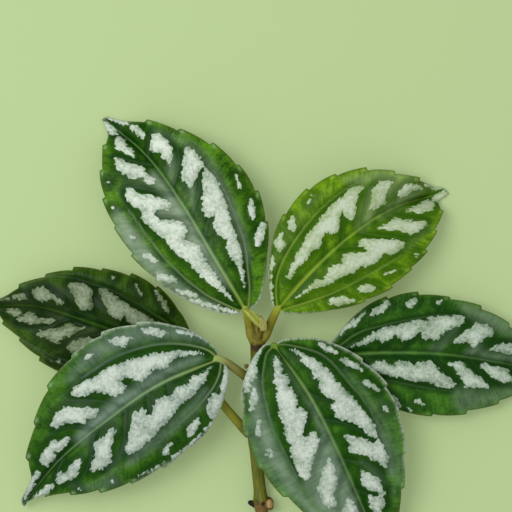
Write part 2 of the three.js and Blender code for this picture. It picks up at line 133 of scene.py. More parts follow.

# Each leaf has its base and tip in plan and its stalk's points from the stem on. The rest is in its own
# frame. leads, laterals, neck and edging each have an entry for the left half and one for the right.
# sag           how far the blade sinks SAG_SPAN away from its midrib
# midrib        its bow and height at the quarters of the leaf's length
# left, right   points of the margins, as along and across
# leads         how far each margin is ahead of the stations in mid leaf
# laterals      the two long side veins
# side_veins    the short ones
# painted_sheen grey sheen of reflected light painted into the colour, each area as a strength and a closed
# outline
# patches       silver, as closed outlines
# strips        silver, as a width and a centre line
# dots          silver, as a centre and a radius
# neck          share by which each half narrows before the tip
# edging        station where the thin silver line along each margin ends
# tones         colours of the blade, of its silver and veins, and of its stalk; low is the dull silver and the painted sheen
LEAVES = [
    dict(
        name="leaf_top_left", slot="leaf_blade",
        base=(-7.2, 8.2), tip=(-50.7, 66.4), sag=2.4, stalk=[(-5.2, -2.3, 9.9)],
        midrib=[(0, 12.5), (-1.8, 14.4), (-3.7, 12.8), (-3.9, 7.8), (0, -5)],
        left=[(3.5, 6), (15, 13), (29.5, 16.5), (44, 16), (56.5, 11.5), (65.5, 4)],
        right=[(0.5, -5.5), (8, -13.5), (19, -21), (32.5, -24), (47.5, -20.5), (62, -11)],
        leads=(0, 0.045),
        laterals=(
            [(2, 2), (10, 6.2), (15, 7.8), (20, 9), (30, 10.2), (45, 10)],
            [(1, -1.5), (5, -5), (10, -8), (15, -11), (20, -13), (30, -15.8), (40, -17.5)],
        ),
        side_veins=[
            [(24, -3.4), (27, -1.8), (30, 0.4)],
            [(32, -3.6), (34, -1), (36, 1.5), (38.5, 3.8), (40.5, 5)],
            [(41, -3.8), (43, -1.5), (45.5, 1), (48, 3.2), (50.5, 5.5), (51.5, 7.5), (50, 9.3), (45, 10)],
            [(52, -3.5), (54, -1.5), (57, 1), (60, 3), (61.5, 4.5), (62, 7)],
            [(62, -2.8), (65, -1), (67, 1)],
            [(26, -4.2), (28, -6.5), (29, -8.5)],
            [(33, -4.4), (35, -7.5), (37.5, -10.5), (40, -12.5), (41.8, -14.5), (42.5, -18)],
            [(43, -4.4), (44.5, -7), (47, -9.8), (50, -12), (53, -12.8), (57, -12.4)],
            [(54, -3.8), (58, -6.5), (60, -8.5), (61.5, -9.8)],
        ],
        painted_sheen=[
            (0.9, [(6, 5.5), (12, 8.6), (20, 11), (30, 12.4), (42, 12), (47, 13), (45, 16), (36, 17.5),
                    (24, 16), (12, 12), (5, 8)]),
            (0.65, [(33, -2.8), (38, 2.5), (40, 4), (39, 0.5), (36.5, -1.6)]),
            (0.6, [(42, -2.8), (46, -0.4), (51, 2), (49, -1.2), (46, -2.4)]),
            (0.95, [(9, -0.4), (18, -1.6), (28, -2.8), (36, -3.3), (46, -3.2), (50, -2.2), (46, -0.6),
                    (41, -1), (39, 3.4), (35, 1.4), (31, -1), (27, 2), (22, 0.4), (14, 0.8)]),
            (0.7, [(12, -9.4), (20, -13.2), (30, -16), (42, -17.6), (42, -16.8), (32, -15), (20, -12)]),
            (0.5, [(34, -5.5), (38, -9.4), (41, -11), (38, -7.4)]),
            (0.55, [(44, -5.2), (48, -9), (50.5, -10.4), (48, -6.8)]),
            (0.35, [(44, -17.5), (52, -14), (60, -10), (58, -12.5), (50, -17)]),
        ],
        patches=[
            [(5.2, 1.5), (8, 2.2), (12, 3.4), (16, 4.5), (21, 5), (24, 5.8), (27, 6.6), (32, 6.5),
             (34, 7.3), (37, 8), (41, 8.4), (42.3, 6.4), (43.5, 7.5), (46, 8.6), (49, 8.2), (50.5, 7),
             (50, 5.8), (47, 4.5), (45, 2.5), (42, 0), (40, -1), (38, 0), (39, 1.5), (40, 3),
             (39.5, 4.8), (37, 4), (35, 1.5), (33, -0.3), (31, -0.8), (29.5, 0.3), (28, 2), (26, 0.5),
             (24, -0.2), (19, 0.5), (14, 0.8), (9, 1)],
            [(46.8, -0.8), (48.5, -1.6), (50.5, -0.8), (53.5, -1), (56, 1.5), (60, 3.5), (59.5, 4.5),
             (57, 5.5), (54, 4.5), (52, 3.8), (50.5, 1), (48.5, 1)],
            [(57, -1), (59, -1.6), (61, -0.9), (63, -1.4), (65.5, -0.6), (64.5, 1.2), (62.5, 2.2),
             (60.5, 1.2), (58, 0)],
            [(66, -0.8), (67, 0.8), (69, 1.4), (71, 1.1), (71.8, 0.3), (70, -0.5), (68, -0.9)],
            [(11.5, 9), (13, 10.5), (16, 12.8), (18, 13), (15.5, 10.5), (13, 9)],
            [(19, 11), (20.5, 13), (22, 15), (24, 15.5), (25, 14.3), (23, 12.5), (21, 11)],
            [(27.5, 12), (28, 13.5), (30, 14), (31.5, 15), (32, 14), (30.5, 12.8), (28.5, 12.2)],
            [(6, -3.8), (9, -4.8), (12, -6), (16, -6), (19, -7), (20, -8.5), (22, -7.3), (26, -7.4),
             (27.5, -8.5), (28.5, -9.8), (29, -7.5), (31.5, -7.5), (33, -8.5), (35, -9.8), (36, -11),
             (38.5, -12.5), (41.3, -15), (40, -16), (37, -16.5), (33, -15.5), (28, -14), (24, -12.5),
             (20, -11.2), (16, -10), (12, -7.8), (9, -6), (7, -4.8)],
            [(39.3, -8.5), (41.5, -8.5), (43, -7.8), (44.5, -9.5), (46, -11), (49.5, -13.8),
             (49, -15.8), (46, -16.3), (42.8, -16.2), (42, -14), (40.5, -11.5)],
            [(48.5, -7.5), (50, -7.8), (52, -7), (53, -8), (55, -6.2), (57, -6.3), (58, -8),
             (59.7, -9.3), (57.5, -11), (53, -11.5), (51, -10.5), (49.5, -9)],
            [(60, -6), (62, -5.3), (65, -4.8), (65.8, -5.5), (64, -7), (61, -7.5)],
            [(66, -5.5), (67.5, -3.7), (70, -2), (71.6, -1.1), (71.2, -2), (69, -4)],
            [(13, -15), (14, -14), (16, -15), (17.5, -17.5), (19, -19.5), (17.5, -20), (15.5, -18.5),
             (14, -16.5)],
            [(20.5, -18.5), (21.5, -17.5), (24, -18.8), (26, -20.5), (26, -21.5), (23, -20.5)],
        ],
        strips=[(1.2, [(1.5, 3), (5, 5.5), (8, 8), (12, 11)]), (0.8, [(30.5, -20.5), (33, -21.5)])],
        dots=[(38, 14, 0.8), (48.5, 13.5, 0.4), (55.5, 10.2, 0.4), (34.2, -22, 0.6)],
        neck=(0.12, 0.05),
        edging=(0.45, 0.3),
        tones=dict(dark="#0f3600", green="#588a1a", low="#899b82", vein="#86997c", silver="#d1dac9",
                   midrib="#8fb078", young="#8da040", stalk="#7c7626"),
    ),
    dict(
        name="leaf_top_right", slot="young_leaf_blade",
        base=(2, 8.5), tip=(54.1, 44), sag=2.4, stalk=[(-2.7, -2.3, 9.9)],
        midrib=[(0, 12.5), (3.9, 14.2), (6, 12.6), (5.3, 7.6), (0, -5)],
        left=[(0.5, 4), (7.5, 15), (18.5, 22), (32.5, 24), (46, 19), (56, 9.5)],
        right=[(3, -3.5), (14.5, -9.5), (28.5, -13), (40.5, -12), (50, -8.5), (58, -3)],
        leads=(0.055, 0),
        laterals=(
            [(1, 1.5), (3, 5), (6, 8.5), (12, 12.3), (20, 15.5), (28, 17.6), (36, 18.3), (42, 17.9)],
            [(1, -0.8), (5, -2), (10, -3.5), (15, -4.8), (20, -5.7), (30, -6.9), (40, -7.5)],
        ),
        side_veins=[
            [(20, 4.4), (22, 6.5), (23, 8.5)],
            [(27, 5.2), (29, 7.5), (31, 10), (32.5, 13)],
            [(35, 5.4), (36.5, 8), (39.5, 11), (42.5, 13.5), (46, 15.2), (49, 14.6), (51.5, 12.5)],
            [(46, 4.7), (47.5, 7.4), (50, 9.6), (53, 9.9), (56, 9.2), (58, 7)],
            [(26, 5.1), (29, 3.2), (32, 0.8)],
            [(33.5, 5.3), (35.5, 3.2), (38, 1), (41, -1.5), (43.5, -4), (46, -5.3), (51, -5.8)],
            [(43, 5), (45, 3.2), (48, 0.6), (51, -2.2), (53, -3.8), (55.5, -4)],
            [(52, 3.8), (56, 2.2), (58.5, -0.6)],
        ],
        painted_sheen=[
            (0.9, [(33.5, 6), (37, 9.5), (41, 12.6), (44, 14), (41, 9), (37, 6)]),
            (0.75, [(41, 6), (50, 7), (57, 4.6), (50, 5), (43, 5)]),
            (0.65, [(38, 21), (42, 20), (50, 17), (57, 10.5), (52, 11), (46, 15.4), (42, 16.5)]),
            (0.45, [(46, 10), (50, 8), (56, 8.5), (58, 6), (60, 3), (57, 10), (51, 14)]),
            (0.25, [(42, -7.2), (50, -6.4), (52, -5.2), (44, -5.4)]),
            (0.2, [(6, 10), (14, 16), (24, 20), (34, 21), (24, 18.5), (14, 14.5)]),
        ],
        patches=[
            [(8, 6.75), (11, 8.5), (13.5, 10.2), (17, 11.7), (20, 13.5), (24, 14.5), (27, 15.5),
             (30, 16.5), (33, 16.7), (36, 17.2), (39, 17.6), (41, 17.2), (42.2, 15.7), (40, 15),
             (38, 13.5), (36, 11.5), (34.5, 9.5), (33.5, 10), (32.5, 11.5), (32.7, 13.2), (31, 12),
             (30, 10.8), (28, 9), (26, 10), (24.7, 11), (23, 10), (21.5, 8.5), (20, 8.2), (18.5, 9),
             (17, 8), (14.5, 7.2), (12, 7), (10, 6), (8, 5.3)],
            [(40, 9), (41, 10.5), (42.5, 12), (44, 13.7), (46, 14.4), (48.5, 13.7), (50, 12.2),
             (49, 11.2), (46.5, 10.2), (44.7, 8.2), (42, 8.5)],
            [(49.5, 7), (50.2, 8.5), (52.5, 9), (55, 8.5), (56.5, 6.7), (57, 5.2), (55, 6), (53, 6.7),
             (51, 6.5)],
            [(58.2, 6), (60, 5.8), (61.5, 4), (62.6, 1.8), (61, 2.4), (59, 4.2)],
            [(7, -0.3), (12.5, 0.5), (15, 1), (16, 0), (17.5, 0.2), (20, 1.6), (22, 1.5), (23.2, 0.5),
             (24.2, 1), (25, 2.2), (26.5, 2.4), (28.5, 1.2), (31, -0.2), (32.2, -0.2), (31, 2.2),
             (32.7, 3.1), (34, 2.7), (36, 1), (38, -0.5), (41, -2.5), (43, -4.5), (42, -5.7), (39, -6),
             (37, -5.2), (35.5, -4), (33, -4.7), (30.5, -4.7), (28, -3.5), (26, -3.7), (23.5, -3.4),
             (21, -2.5), (18.5, -2.5), (16, -2), (13.5, -1), (11, -0.6)],
            [(38.5, 3.5), (40.5, 3), (42, 2.5), (44, 3), (45.5, 2.2), (47.5, 0), (50, -2), (52, -3.2),
             (51, -4.5), (48.5, -4.4), (46, -3.7), (44.5, -2.5), (43.5, -0.7), (41, 0.5), (40, 2)],
            [(48.7, 3), (50.5, 2.5), (52.5, 2.1), (55, 2), (56.7, 1.2), (57.5, -0.2), (56, -1.5),
             (53.5, -0.9), (51.5, 0), (50, 1.5)],
            [(57.5, 1), (59.5, 1.4), (61.5, 1.4), (63, 0.2), (61.5, -0.6), (60, -0.7), (58, -0.3)],
            [(-0.2, 2), (1.5, 6), (4, 9.5), (6.5, 13), (8, 14.5), (7.2, 11.5), (5, 10), (3.5, 7.5),
             (1.5, 4.5)],
            [(10, 14.5), (10.5, 16.7), (12.5, 18), (14.5, 18.4), (13.5, 16.5), (13, 14.5), (11.5, 14)],
            [(16.5, 18), (17, 19.5), (18.5, 20.5), (19.7, 20.7), (19.2, 18.7), (18.7, 17),
             (17.5, 16.7)],
            [(14, -6.7), (15.5, -6.2), (17.5, -7.5), (19, -7.7), (20, -9.5), (21.5, -11), (19, -10.7),
             (17, -9.5), (15, -8.5)],
            [(23, -8.5), (24.2, -8.1), (26, -8.2), (28, -10), (28.7, -11), (26, -11.2), (24.5, -10)],
        ],
        strips=[(0.7, [(25.7, 21), (27.5, 22.3), (28.5, 22)]), (0.6, [(33, -9.5), (36, -10.2)])],
        dots=[(44, -10, 0.7)],
        neck=(0, 0.22),
        edging=(0.35, 0.3),
        tones=dict(dark="#2a5200", green="#78a116", low="#8ca06a", vein="#8aa648", silver="#bcc8ae",
                   midrib="#8fae42", young="#8a9a2c", stalk="#74701e"),
    ),
    dict(
        name="leaf_front_left", slot="leaf_blade",
        base=(-15.3, -6.1), tip=(-74.9, -50.9), sag=2, stalk=[(-4.9, -13.4, 7.3)],
        midrib=[(0, 13.5), (-4.7, 15.2), (-5.5, 14.2), (-4.5, 10), (0, 3)],
        left=[(0.5, 5.5), (11.5, 13.5), (25.5, 15.5), (41, 14), (54.5, 8.5), (65.5, 1.5)],
        right=[(-1, -4), (3, -14), (14, -23), (29, -27), (46.5, -23), (62, -12)],
        leads=(0.028, 0.055),
        laterals=(
            [(0, 1), (2.5, 3.5), (6, 5.5), (10, 6.7), (15, 7.7), (20, 8.2), (32, 9)],
            [(1, -4), (3.5, -7.5), (7, -11), (11, -14), (16, -16.5), (24, -19), (36, -20)],
        ),
        side_veins=[
            [(16, -4.3), (17.5, -2), (18.4, 0.4)],
            [(23, -4.9), (25, -1.6), (26, 0.8)],
            [(31, -5.2), (33, -2.4), (36, 1), (38.5, 3.6), (41, 5.4), (44, 6.2), (48, 6)],
            [(43, -4.7), (46, -1.5), (49, 1), (52, 3), (56, 3.9), (60, 2.6)],
            [(56, -3.6), (60, -1.4), (62.5, 1)],
            [(14, -4.1), (16, -6.5), (18, -8.6)],
            [(22, -4.9), (25, -8), (27.5, -11.5)],
            [(31, -5.2), (33, -8), (36.5, -12), (40, -14.8), (43, -17), (44, -20)],
            [(42, -4.8), (45, -8.5), (48.5, -11), (52, -12.4), (56, -11.6)],
            [(55, -3.7), (59.5, -6), (62.5, -8)],
        ],
        painted_sheen=[
            (1.0, [(4, -3), (10, -4.6), (18, -5.4), (28, -5.8), (40, -5.6), (48, -4.8), (48, -7), (42, -8.2),
                    (36, -9), (30, -9.2), (24, -8.6), (18, -8.6), (12, -7.2), (6, -5)]),
            (0.5, [(0, -5.5), (4, -9.5), (8, -13.3), (14, -17), (22, -19.8), (32, -21), (38, -20.8),
                   (40, -22), (33, -24.5), (26, -26.2), (14, -23.5), (6, -17), (0, -10)]),
            (0.65, [(9, 4.6), (18, 6.2), (28, 7), (38, 7.4), (40, 9), (30, 8.6), (18, 7.8), (9, 6)]),
            (0.35, [(36, 2.8), (41, 5.8), (46, 6.6), (40, 4.2)]),
            (0.35, [(46, 9), (52, 7.6), (58, 4), (54, 9), (46, 12.5)]),
        ],
        patches=[
            [(3, 0.7), (5, 1.5), (7, 2.5), (9, 3), (13.5, 4), (16, 3.9), (18.5, 4.2), (21, 5.2),
             (24, 5.5), (27, 6), (30, 6.7), (33, 6.9), (35.5, 7.4), (37.5, 7), (39, 5.7), (38.5, 4.5),
             (36.5, 3.5), (35, 2), (33, 0.5), (31.5, -1), (30, -2.5), (28.5, -2), (27, -2), (26.5, -1),
             (27.2, 0.5), (25.5, 1), (24.5, 0), (23.2, -1), (22, -1.7), (20, -1.2), (18.5, -0.5),
             (17.7, 0.5), (17, -0.2), (15, -1), (13, -0.2), (11.5, 0.2), (10, -0.5), (9, -0.7),
             (7.5, 0.2), (5, 0.5)],
            [(37, -2), (39, -2.7), (41, -2), (43.5, -2.7), (45, -2), (46, 0), (48.5, 1.7), (50.2, 3),
             (50.7, 4.2), (49, 4.5), (47, 5.5), (44.5, 5), (43, 4.2), (42, 2.5), (40.5, 1),
             (38.5, -0.7)],
            [(51, -1.2), (51.7, 0.5), (53.5, 1.5), (56, 2.6), (58, 2), (60, 1.5), (61.2, 0.5),
             (60, -1.2), (58, -1.2), (56.5, -0.2), (55, -1.4), (52.5, -1.4)],
            [(62.5, -0.2), (63, 1.2), (66, 1.3), (69, 1.3), (72, 1), (72.8, 0.2), (70, 0), (66, -0.5)],
            [(-1, 1.6), (-1.1, 3.5), (0.8, 6.6), (4.3, 9.2), (8.3, 12.1), (11.2, 13.4), (12.6, 11.9),
             (11.7, 9.6), (9, 7.5), (7.1, 7), (6.1, 8.6), (4, 6.4), (1.9, 4.6), (0.1, 2.6)],
            [(15.5, 10), (15.7, 11.7), (17.5, 12.7), (20, 13.4), (21.4, 12.7), (20, 11.2), (18, 10.5)],
            [(25.2, 12), (27.5, 12.2), (28.7, 13.7), (30.5, 12.7), (29, 11.2), (26.5, 11.6)],
            [(2.7, -4), (4, -5), (6, -6), (8, -7.2), (10.5, -8.2), (12.5, -7.7), (14.7, -7.4),
             (16, -8.5), (18, -9.7), (18.5, -8.7), (22, -8.6), (23.5, -10), (25, -12), (27, -12.5),
             (27, -10.5), (27.5, -9.5), (31, -9.7), (33, -12), (35.5, -14.5), (38.5, -15.2),
             (40.5, -16.5), (41.5, -18), (40, -19.2), (36, -19), (33, -18.2), (28, -18), (25, -17),
             (22, -16), (19.5, -15.2), (17, -14), (14.5, -13.2), (12, -11.5), (9.5, -10), (7, -8.5),
             (5, -6.5), (3.5, -5.2)],
            [(37.5, -9.7), (39.5, -8.5), (42, -9.2), (43.2, -8.2), (44.5, -9.5), (46, -11),
             (48.5, -12.2), (51, -12.5), (52, -14.2), (49.5, -16), (46, -16.2), (43.5, -15.2),
             (42.5, -13.5), (40, -12.2), (38.5, -10.5)],
            [(49.5, -8), (51.5, -7.2), (54.5, -6.7), (56, -7.2), (56.7, -5.7), (58.5, -5.5), (61, -5),
             (61.5, -7.5), (60, -9), (57.5, -9.7), (54.5, -10.4), (52.5, -9), (50, -8.7)],
            [(63.5, -4.5), (65.5, -4), (67.5, -3), (69.5, -2), (72.5, -1), (72.2, -2), (70, -3.4),
             (67.5, -4.8), (64.5, -5.9), (63.7, -5.2)],
            [(0.2, -8), (1.5, -10), (3.5, -11.5), (5.5, -14.5), (4, -14), (2, -11.5), (0.5, -9)],
            [(7.5, -15.2), (10, -16), (11.5, -17.5), (13, -20), (13.5, -21.5), (11.5, -20.5),
             (9.5, -18.5), (8, -16.5)],
            [(16.5, -20), (18.5, -20.5), (20.2, -19.7), (22, -22), (23.4, -24), (21, -23.7),
             (18.5, -22.5), (17.5, -20.7)],
            [(28.5, -24), (30, -23.1), (31.7, -23.7), (31.5, -24.7), (29.5, -24.4)],
        ],
        strips=[(0.5, [(13, 14), (22, 15.2), (31, 15), (40, 13.7)])],
        dots=[(47.5, 10.3, 0.4), (57, 6, 0.4)],
        neck=(0, 0.35),
        edging=(0.6, 0.65),
        tones=dict(dark="#0f3402", green="#42711a", low="#758878", vein="#71877a", silver="#bfc9bb",
                   midrib="#8aa97a", young="#93a65c", stalk="#7b7840"),
    ),
    dict(
        name="leaf_front_right", slot="leaf_blade",
        base=(1.1, -2.2), tip=(34.7, -66.7), sag=2.2,
        stalk=[(-3.6, -12.3, 7.6), (-0.6, -8.6, 10.2)],
        midrib=[(0, 13.5), (2.5, 15.2), (2.4, 14.6), (1.2, 11), (0, 4.5)],
        left=[(0, 4.5), (6, 14.5), (20, 22.5), (34.5, 23.5), (50, 17.5), (62.5, 8.5)],
        right=[(-1.5, -3), (3.5, -11), (16, -18), (31, -20), (47, -15), (63, -7)],
        leads=(0.02, 0.005),
        laterals=(
            [(0.5, 2), (2.5, 5), (6, 9), (9, 11.5), (13, 13.2), (21, 15), (27, 16.3), (38, 17)],
            [(1, -3), (4, -5.5), (8, -8), (12, -9.5), (20, -11.3), (26, -11.9), (38, -12)],
        ),
        side_veins=[
            [(17, 2.8), (20, 5), (22, 7.5)],
            [(26, 2.7), (28, 5.6), (30.5, 8.3), (34, 10.9), (37, 12.7), (39, 14.4), (40, 17)],
            [(39, 2.2), (41, 4.6), (43.5, 8), (46, 10), (49, 10.9), (54, 10.6), (58, 9)],
            [(49, 1.5), (52, 4), (55, 7), (58, 8)],
            [(21, 2.7), (24, -0.6), (27.5, -4)],
            [(31.5, 2.4), (33.5, -1.2), (36.5, -4.4), (39.5, -7.5), (42.5, -10), (48, -11)],
            [(42, 2), (45, -0.8), (48, -3.3), (51, -5), (54, -6.4)],
            [(54, 1), (58, -2), (61, -4.5)],
        ],
        painted_sheen=[
            (0.35, [(6, 0.6), (14, 1.4), (22, 1.6), (16, 0.2)]),
            (0.95, [(20, 1.6), (30, 2), (42, 1.4), (56, 0), (50, -2.2), (44, -1), (40, -0.6), (34, 0.3)]),
            (0.9, [(31, 1), (33, -3), (36, -7.5), (39, -10.5), (44, -12), (50, -11), (56, -8), (58, -5),
                    (56, -1), (44, 1)]),
            (1.0, [(6, -8.5), (12, -10.2), (20, -12), (28, -13), (38, -12.6), (48, -11.6), (56, -8),
                    (57, -10), (50, -13.5), (40, -16.4), (30, -17.8), (18, -16), (8, -12.5), (4, -10)]),
            (0.45, [(16, 15.4), (26, 17.2), (38, 17.6), (50, 14.5), (56, 11), (50, 17), (38, 19),
                    (26, 18.2)]),
            (0.45, [(14, -12), (30, -14), (44, -13), (58, -8), (62, -7.5), (54, -12.5), (44, -17),
                    (30, -20.5), (18, -19)]),
            (0.12, [(30, 18), (44, 16), (58, 10), (62, 9), (52, 17), (38, 22.5), (28, 22)]),
            (0.4, [(42.5, 7), (46, 9.5), (52, 10.6), (47, 8.6)]),
            (0.75, [(33, 16.8), (40, 17.2), (46, 16.4), (51, 14.4), (50, 12.8), (45, 14.6), (39, 15.4)]),
        ],
        patches=[
            [(3, 4), (5, 6), (7, 7.5), (9, 9), (11, 10), (14.5, 11.4), (17, 11.5), (19.5, 12.5),
             (22.5, 13.2), (25.5, 14.1), (28, 14.5), (30.5, 15.2), (33, 15.5), (35.5, 15.6),
             (38, 14.5), (37.5, 13.2), (35, 12.5), (33, 11.5), (31, 10.2), (29.5, 9), (28.5, 7.5),
             (27, 6.4), (25.5, 7.2), (24, 6.5), (23.2, 8), (22.5, 8.5), (21, 7.2), (18.5, 6.2),
             (16.5, 6.5), (15.5, 7.7), (13.5, 6), (12, 6.7), (10.5, 6.5), (8, 5.2), (6, 5.5),
             (4, 4.2)],
            [(33, 6.2), (34, 8), (35.5, 9.5), (36.5, 11), (39, 12.5), (39.2, 14.5), (41, 15.1),
             (45, 15), (46.5, 14), (47.5, 12.5), (45, 11.5), (43, 10), (40.5, 8.5), (39.5, 6.5),
             (38, 5.7), (35.5, 6.5)],
            [(45, 5.5), (46, 7.2), (48, 8.5), (50, 9.5), (52.5, 9.2), (54.2, 9.1), (54.5, 7.7),
             (52.5, 7), (51, 5), (49, 4.2), (47, 5)],
            [(52.5, 5), (54.5, 6.5), (55.5, 8), (57.5, 7.5), (58.2, 6), (59, 5), (57.5, 3.2),
             (55, 3.7), (53, 4)],
            [(60, 3), (61.5, 4.6), (64.5, 4), (65, 2.4), (62, 2.2)],
            [(66, 1), (68, 1.7), (71, 0.8), (69, 0.3)],
            [(5.5, 12.5), (7.5, 14.5), (9, 15.5), (11, 16), (10.2, 14.5), (8, 12.7), (6, 11.7)],
            [(12.5, 15.5), (13, 17), (14.5, 18.5), (16, 19.7), (19, 20.2), (17.5, 18.5), (15.5, 16.7),
             (13.5, 15.7)],
            [(21.5, 18.2), (21.7, 20), (24, 21), (26, 21.9), (26.6, 21), (24.5, 20), (23, 18.7)],
            [(2.7, -0.6), (6, -0.6), (7.5, -1), (8.5, -2), (9.2, -0.7), (11.5, -0.7), (12.5, -2.5),
             (13.2, -1.1), (16.5, -1.1), (18.5, -2), (19.5, -2.7), (19.7, -1.2), (22.5, -0.5),
             (24, -2), (25.5, -3), (27.5, -4.5), (28.5, -4.5), (28, -2.5), (27.6, -1.2), (30, -0.6),
             (31.5, -1), (33, -3), (35, -5), (37, -6.7), (39.5, -8.5), (40.2, -9.7), (38.5, -10.7),
             (36, -11.2), (33.5, -10.7), (29.5, -10.2), (29.2, -9), (27, -9.7), (24.5, -9.2),
             (22, -8.2), (19.5, -8.2), (17, -7.2), (14.5, -6.7), (12.5, -5.7), (11.5, -5), (9.5, -5.2),
             (8.5, -4), (6, -3.2), (4, -2)],
            [(37.2, -1), (40, -0.9), (42.5, -1), (44.5, -1.5), (46, -3.5), (48, -5), (50.2, -5.2),
             (50.7, -7), (49, -8.5), (46, -8.4), (43.5, -8.2), (42.5, -7), (41, -5), (39.5, -4.5),
             (38.5, -2.5)],
            [(50, -1.2), (52, -1), (55.5, -0.7), (59, -3.5), (58, -5), (55, -5), (52.7, -4.2),
             (51.5, -2.5)],
            [(61, -1.2), (64, -0.8), (67, -1.2), (65.5, -2.8), (62.5, -3)],
            [(-1, -3.6), (0.5, -5.2), (2.5, -7.2), (5.4, -8.4), (6.6, -11), (8.6, -12.6), (8.4, -14.2),
             (5.5, -12.8), (2.5, -10.2), (0, -7)],
            [(8.5, -10.7), (10.5, -11.2), (12.5, -12), (13.7, -13.5), (14.1, -15.2), (12, -14.5),
             (10, -13), (8.7, -11.7)],
            [(17.2, -14.2), (18.5, -14), (19.5, -15), (21, -15.2), (22, -16.2), (20.5, -17),
             (18.5, -15.7)],
        ],
        strips=[(1.0, [(26.8, -16.1), (27.5, -15.2), (28.6, -15.4), (28.5, -16.3), (27.6, -16.8)])],
        dots=[(32, 21, 0.9)],
        neck=(0.12, 0.12),
        edging=(0.8, 0.5),
        tones=dict(dark="#0e3600", green="#47791a", low="#788c75", vein="#70866e", silver="#c3ccbe",
                   midrib="#7f9e60", young="#647f2a", stalk="#587a2a"),
    ),
    dict(
        name="leaf_back_left", slot="leaf_blade",
        base=(-23.2, -7.3), tip=(-86.9, 9.4), sag=2.2, stalk=[(-4.9, -31, 5.1), (-14.5, -19.7, 6.2)],
        midrib=[(0, 7.5), (-2.4, 9), (-3.7, 8.4), (-4.2, 5.4), (0, 1.2)],
        left=[(1.5, 5.5), (8.5, 12.5), (19, 16), (31.5, 14.5), (45.5, 10), (57, 3.5)],
        right=[(1, -5), (7, -13), (17.5, -19), (30, -20), (43, -17), (55, -9.5)],
        leads=(0.05, 0.045),
        laterals=(
            [(2, 3), (6, 5.8), (12, 8), (20, 9.3), (30, 9.6), (40, 8.8)],
            [(2, -4), (6, -7.5), (10, -9.5), (15, -11), (20, -12.5), (30, -14.8), (40, -15)],
        ),
        side_veins=[
            [(27, -3.1), (30, -0.8), (34, 1.6), (38.5, 4.6), (41, 7)],
            [(38, -4), (42, -1), (46, 1.6), (50, 2.6), (55, 2.4)],
            [(20, -2.4), (23, -6), (25, -8.6)],
            [(29, -3.4), (31.5, -7), (33.5, -11), (34.5, -15)],
            [(38, -4), (41, -7.5), (44, -10), (48, -11.3)],
            [(48, -3.8), (52, -5.6), (54, -8)],
        ],
        painted_sheen=[
            (0.15, [(30, -1.4), (40, 0), (56, 3), (50, 7), (40, 8.4), (34, 4)]),
            (0.25, [(40, -3), (50, -2.4), (60, -1), (58, -5), (48, -6), (40, -5.6)]),
        ],
        patches=[
            [(5, 1.2), (9, 3), (14, 4.8), (20, 6.2), (27, 6.9), (32, 7), (36.7, 6.2), (37.9, 5),
             (37, 3.5), (35, 2), (33, 1), (30.5, 0.6), (29.5, 2.4), (27, 0.8), (24, -0.2), (21, 1.2),
             (18, 0.2), (14, 0.4), (9, 0.6)],
            [(34, -1.7), (36, 0), (37.5, 1.7), (39.5, 2.7), (40.5, 4.7), (43, 4.7), (46, 4.2),
             (47.5, 4), (47, 2.7), (44, 1.2), (42, 0.5), (40, -1), (38.5, -2), (36, -1.5)],
            [(43.5, -1.7), (44.5, -0.2), (47, 0.5), (51, 1.2), (53.5, 1.5), (54.7, 1), (53.5, 0),
             (52, -2), (50, -1.7), (47.5, -1.2), (45.5, -2)],
            [(53.5, -1.5), (54.5, 0), (56.5, 0.4), (58.5, 0), (58, -1.2), (55.5, -1.6)],
            [(6, 8), (9, 10.6), (12.5, 12), (11, 10), (8.5, 8.4)],
            [(15.5, 11.5), (17, 13), (20, 13.8), (19.5, 12.2), (17.5, 11)],
            [(6, -4), (9, -5.8), (13.5, -8.5), (17, -7), (20, -6.2), (22, -6.7), (23.2, -8.5),
             (23.7, -7), (26, -6.9), (28, -7.7), (29.5, -9.5), (31, -11.2), (32.7, -13),
             (32.5, -14.2), (30, -14.5), (27, -13.2), (24, -12.2), (21, -11.2), (18, -10.2),
             (15.5, -9.5), (11, -8.6), (8, -6.6)],
            [(33, -8.5), (34.5, -7.2), (36.5, -6.7), (38, -8.2), (40, -10.7), (42.2, -12.5),
             (41.5, -14), (39, -14.6), (36, -14), (34.2, -12.2), (34.5, -10.5)],
            [(42, -7.2), (44, -6.7), (46, -7.2), (48, -6.2), (50, -5.9), (52, -7.5), (52.5, -8.5),
             (50.5, -10), (48, -10), (47.2, -8.9), (46, -9.5), (45, -8.5), (43, -8.2)],
            [(53.5, -5.7), (55.5, -5), (58, -5), (56.5, -6.2), (55, -7)],
            [(10.5, -13), (11.5, -12.5), (13.5, -14.5), (15, -16), (16.5, -18), (14.5, -17),
             (12, -15)],
        ],
        strips=[(0.7, [(59, -4.5), (61, -3.2)]), (0.5, [(20, -15.7), (21.5, -17), (22.7, -18.2)])],
        dots=[(29.5, -18.5, 0.5), (41.2, 11, 0.4), (39, 9.9, 0.4)],
        neck=(0.12, 0.12),
        edging=(0, 0),
        # Painted shade: this leaf lies in shadow, so its greens and silver are set darker all over
        tones=dict(dark="#082300", green="#38580e", low="#47572f", vein="#35491f", silver="#88947a",
                   midrib="#3c5e1c", young="#5c7a24", stalk="#969a38"),
    ),
    dict(
        name="leaf_back_right", slot="leaf_blade",
        base=(15.6, -5.5), tip=(86.9, -11.2), sag=2.2, stalk=[(-3.9, -31, 5.1), (6.5, -19, 6.2)],
        midrib=[(0, 7.5), (2.5, 9.2), (3.5, 8.6), (2.2, 5.6), (0, 1.2)],
        left=[(3, 5), (10.5, 14.5), (23, 20), (37, 20), (51, 16), (63, 7.5)],
        right=[(2, -4.5), (10, -10.5), (22.5, -14), (37, -14.5), (51.5, -10.5), (63, -4)],
        leads=(0.005, -0.02),
        laterals=(
            [(2, 1.6), (4, 3), (6, 4.5), (9, 7), (12, 8.7), (16, 10.2), (24, 12.7), (34, 15),
             (42, 15.3)],
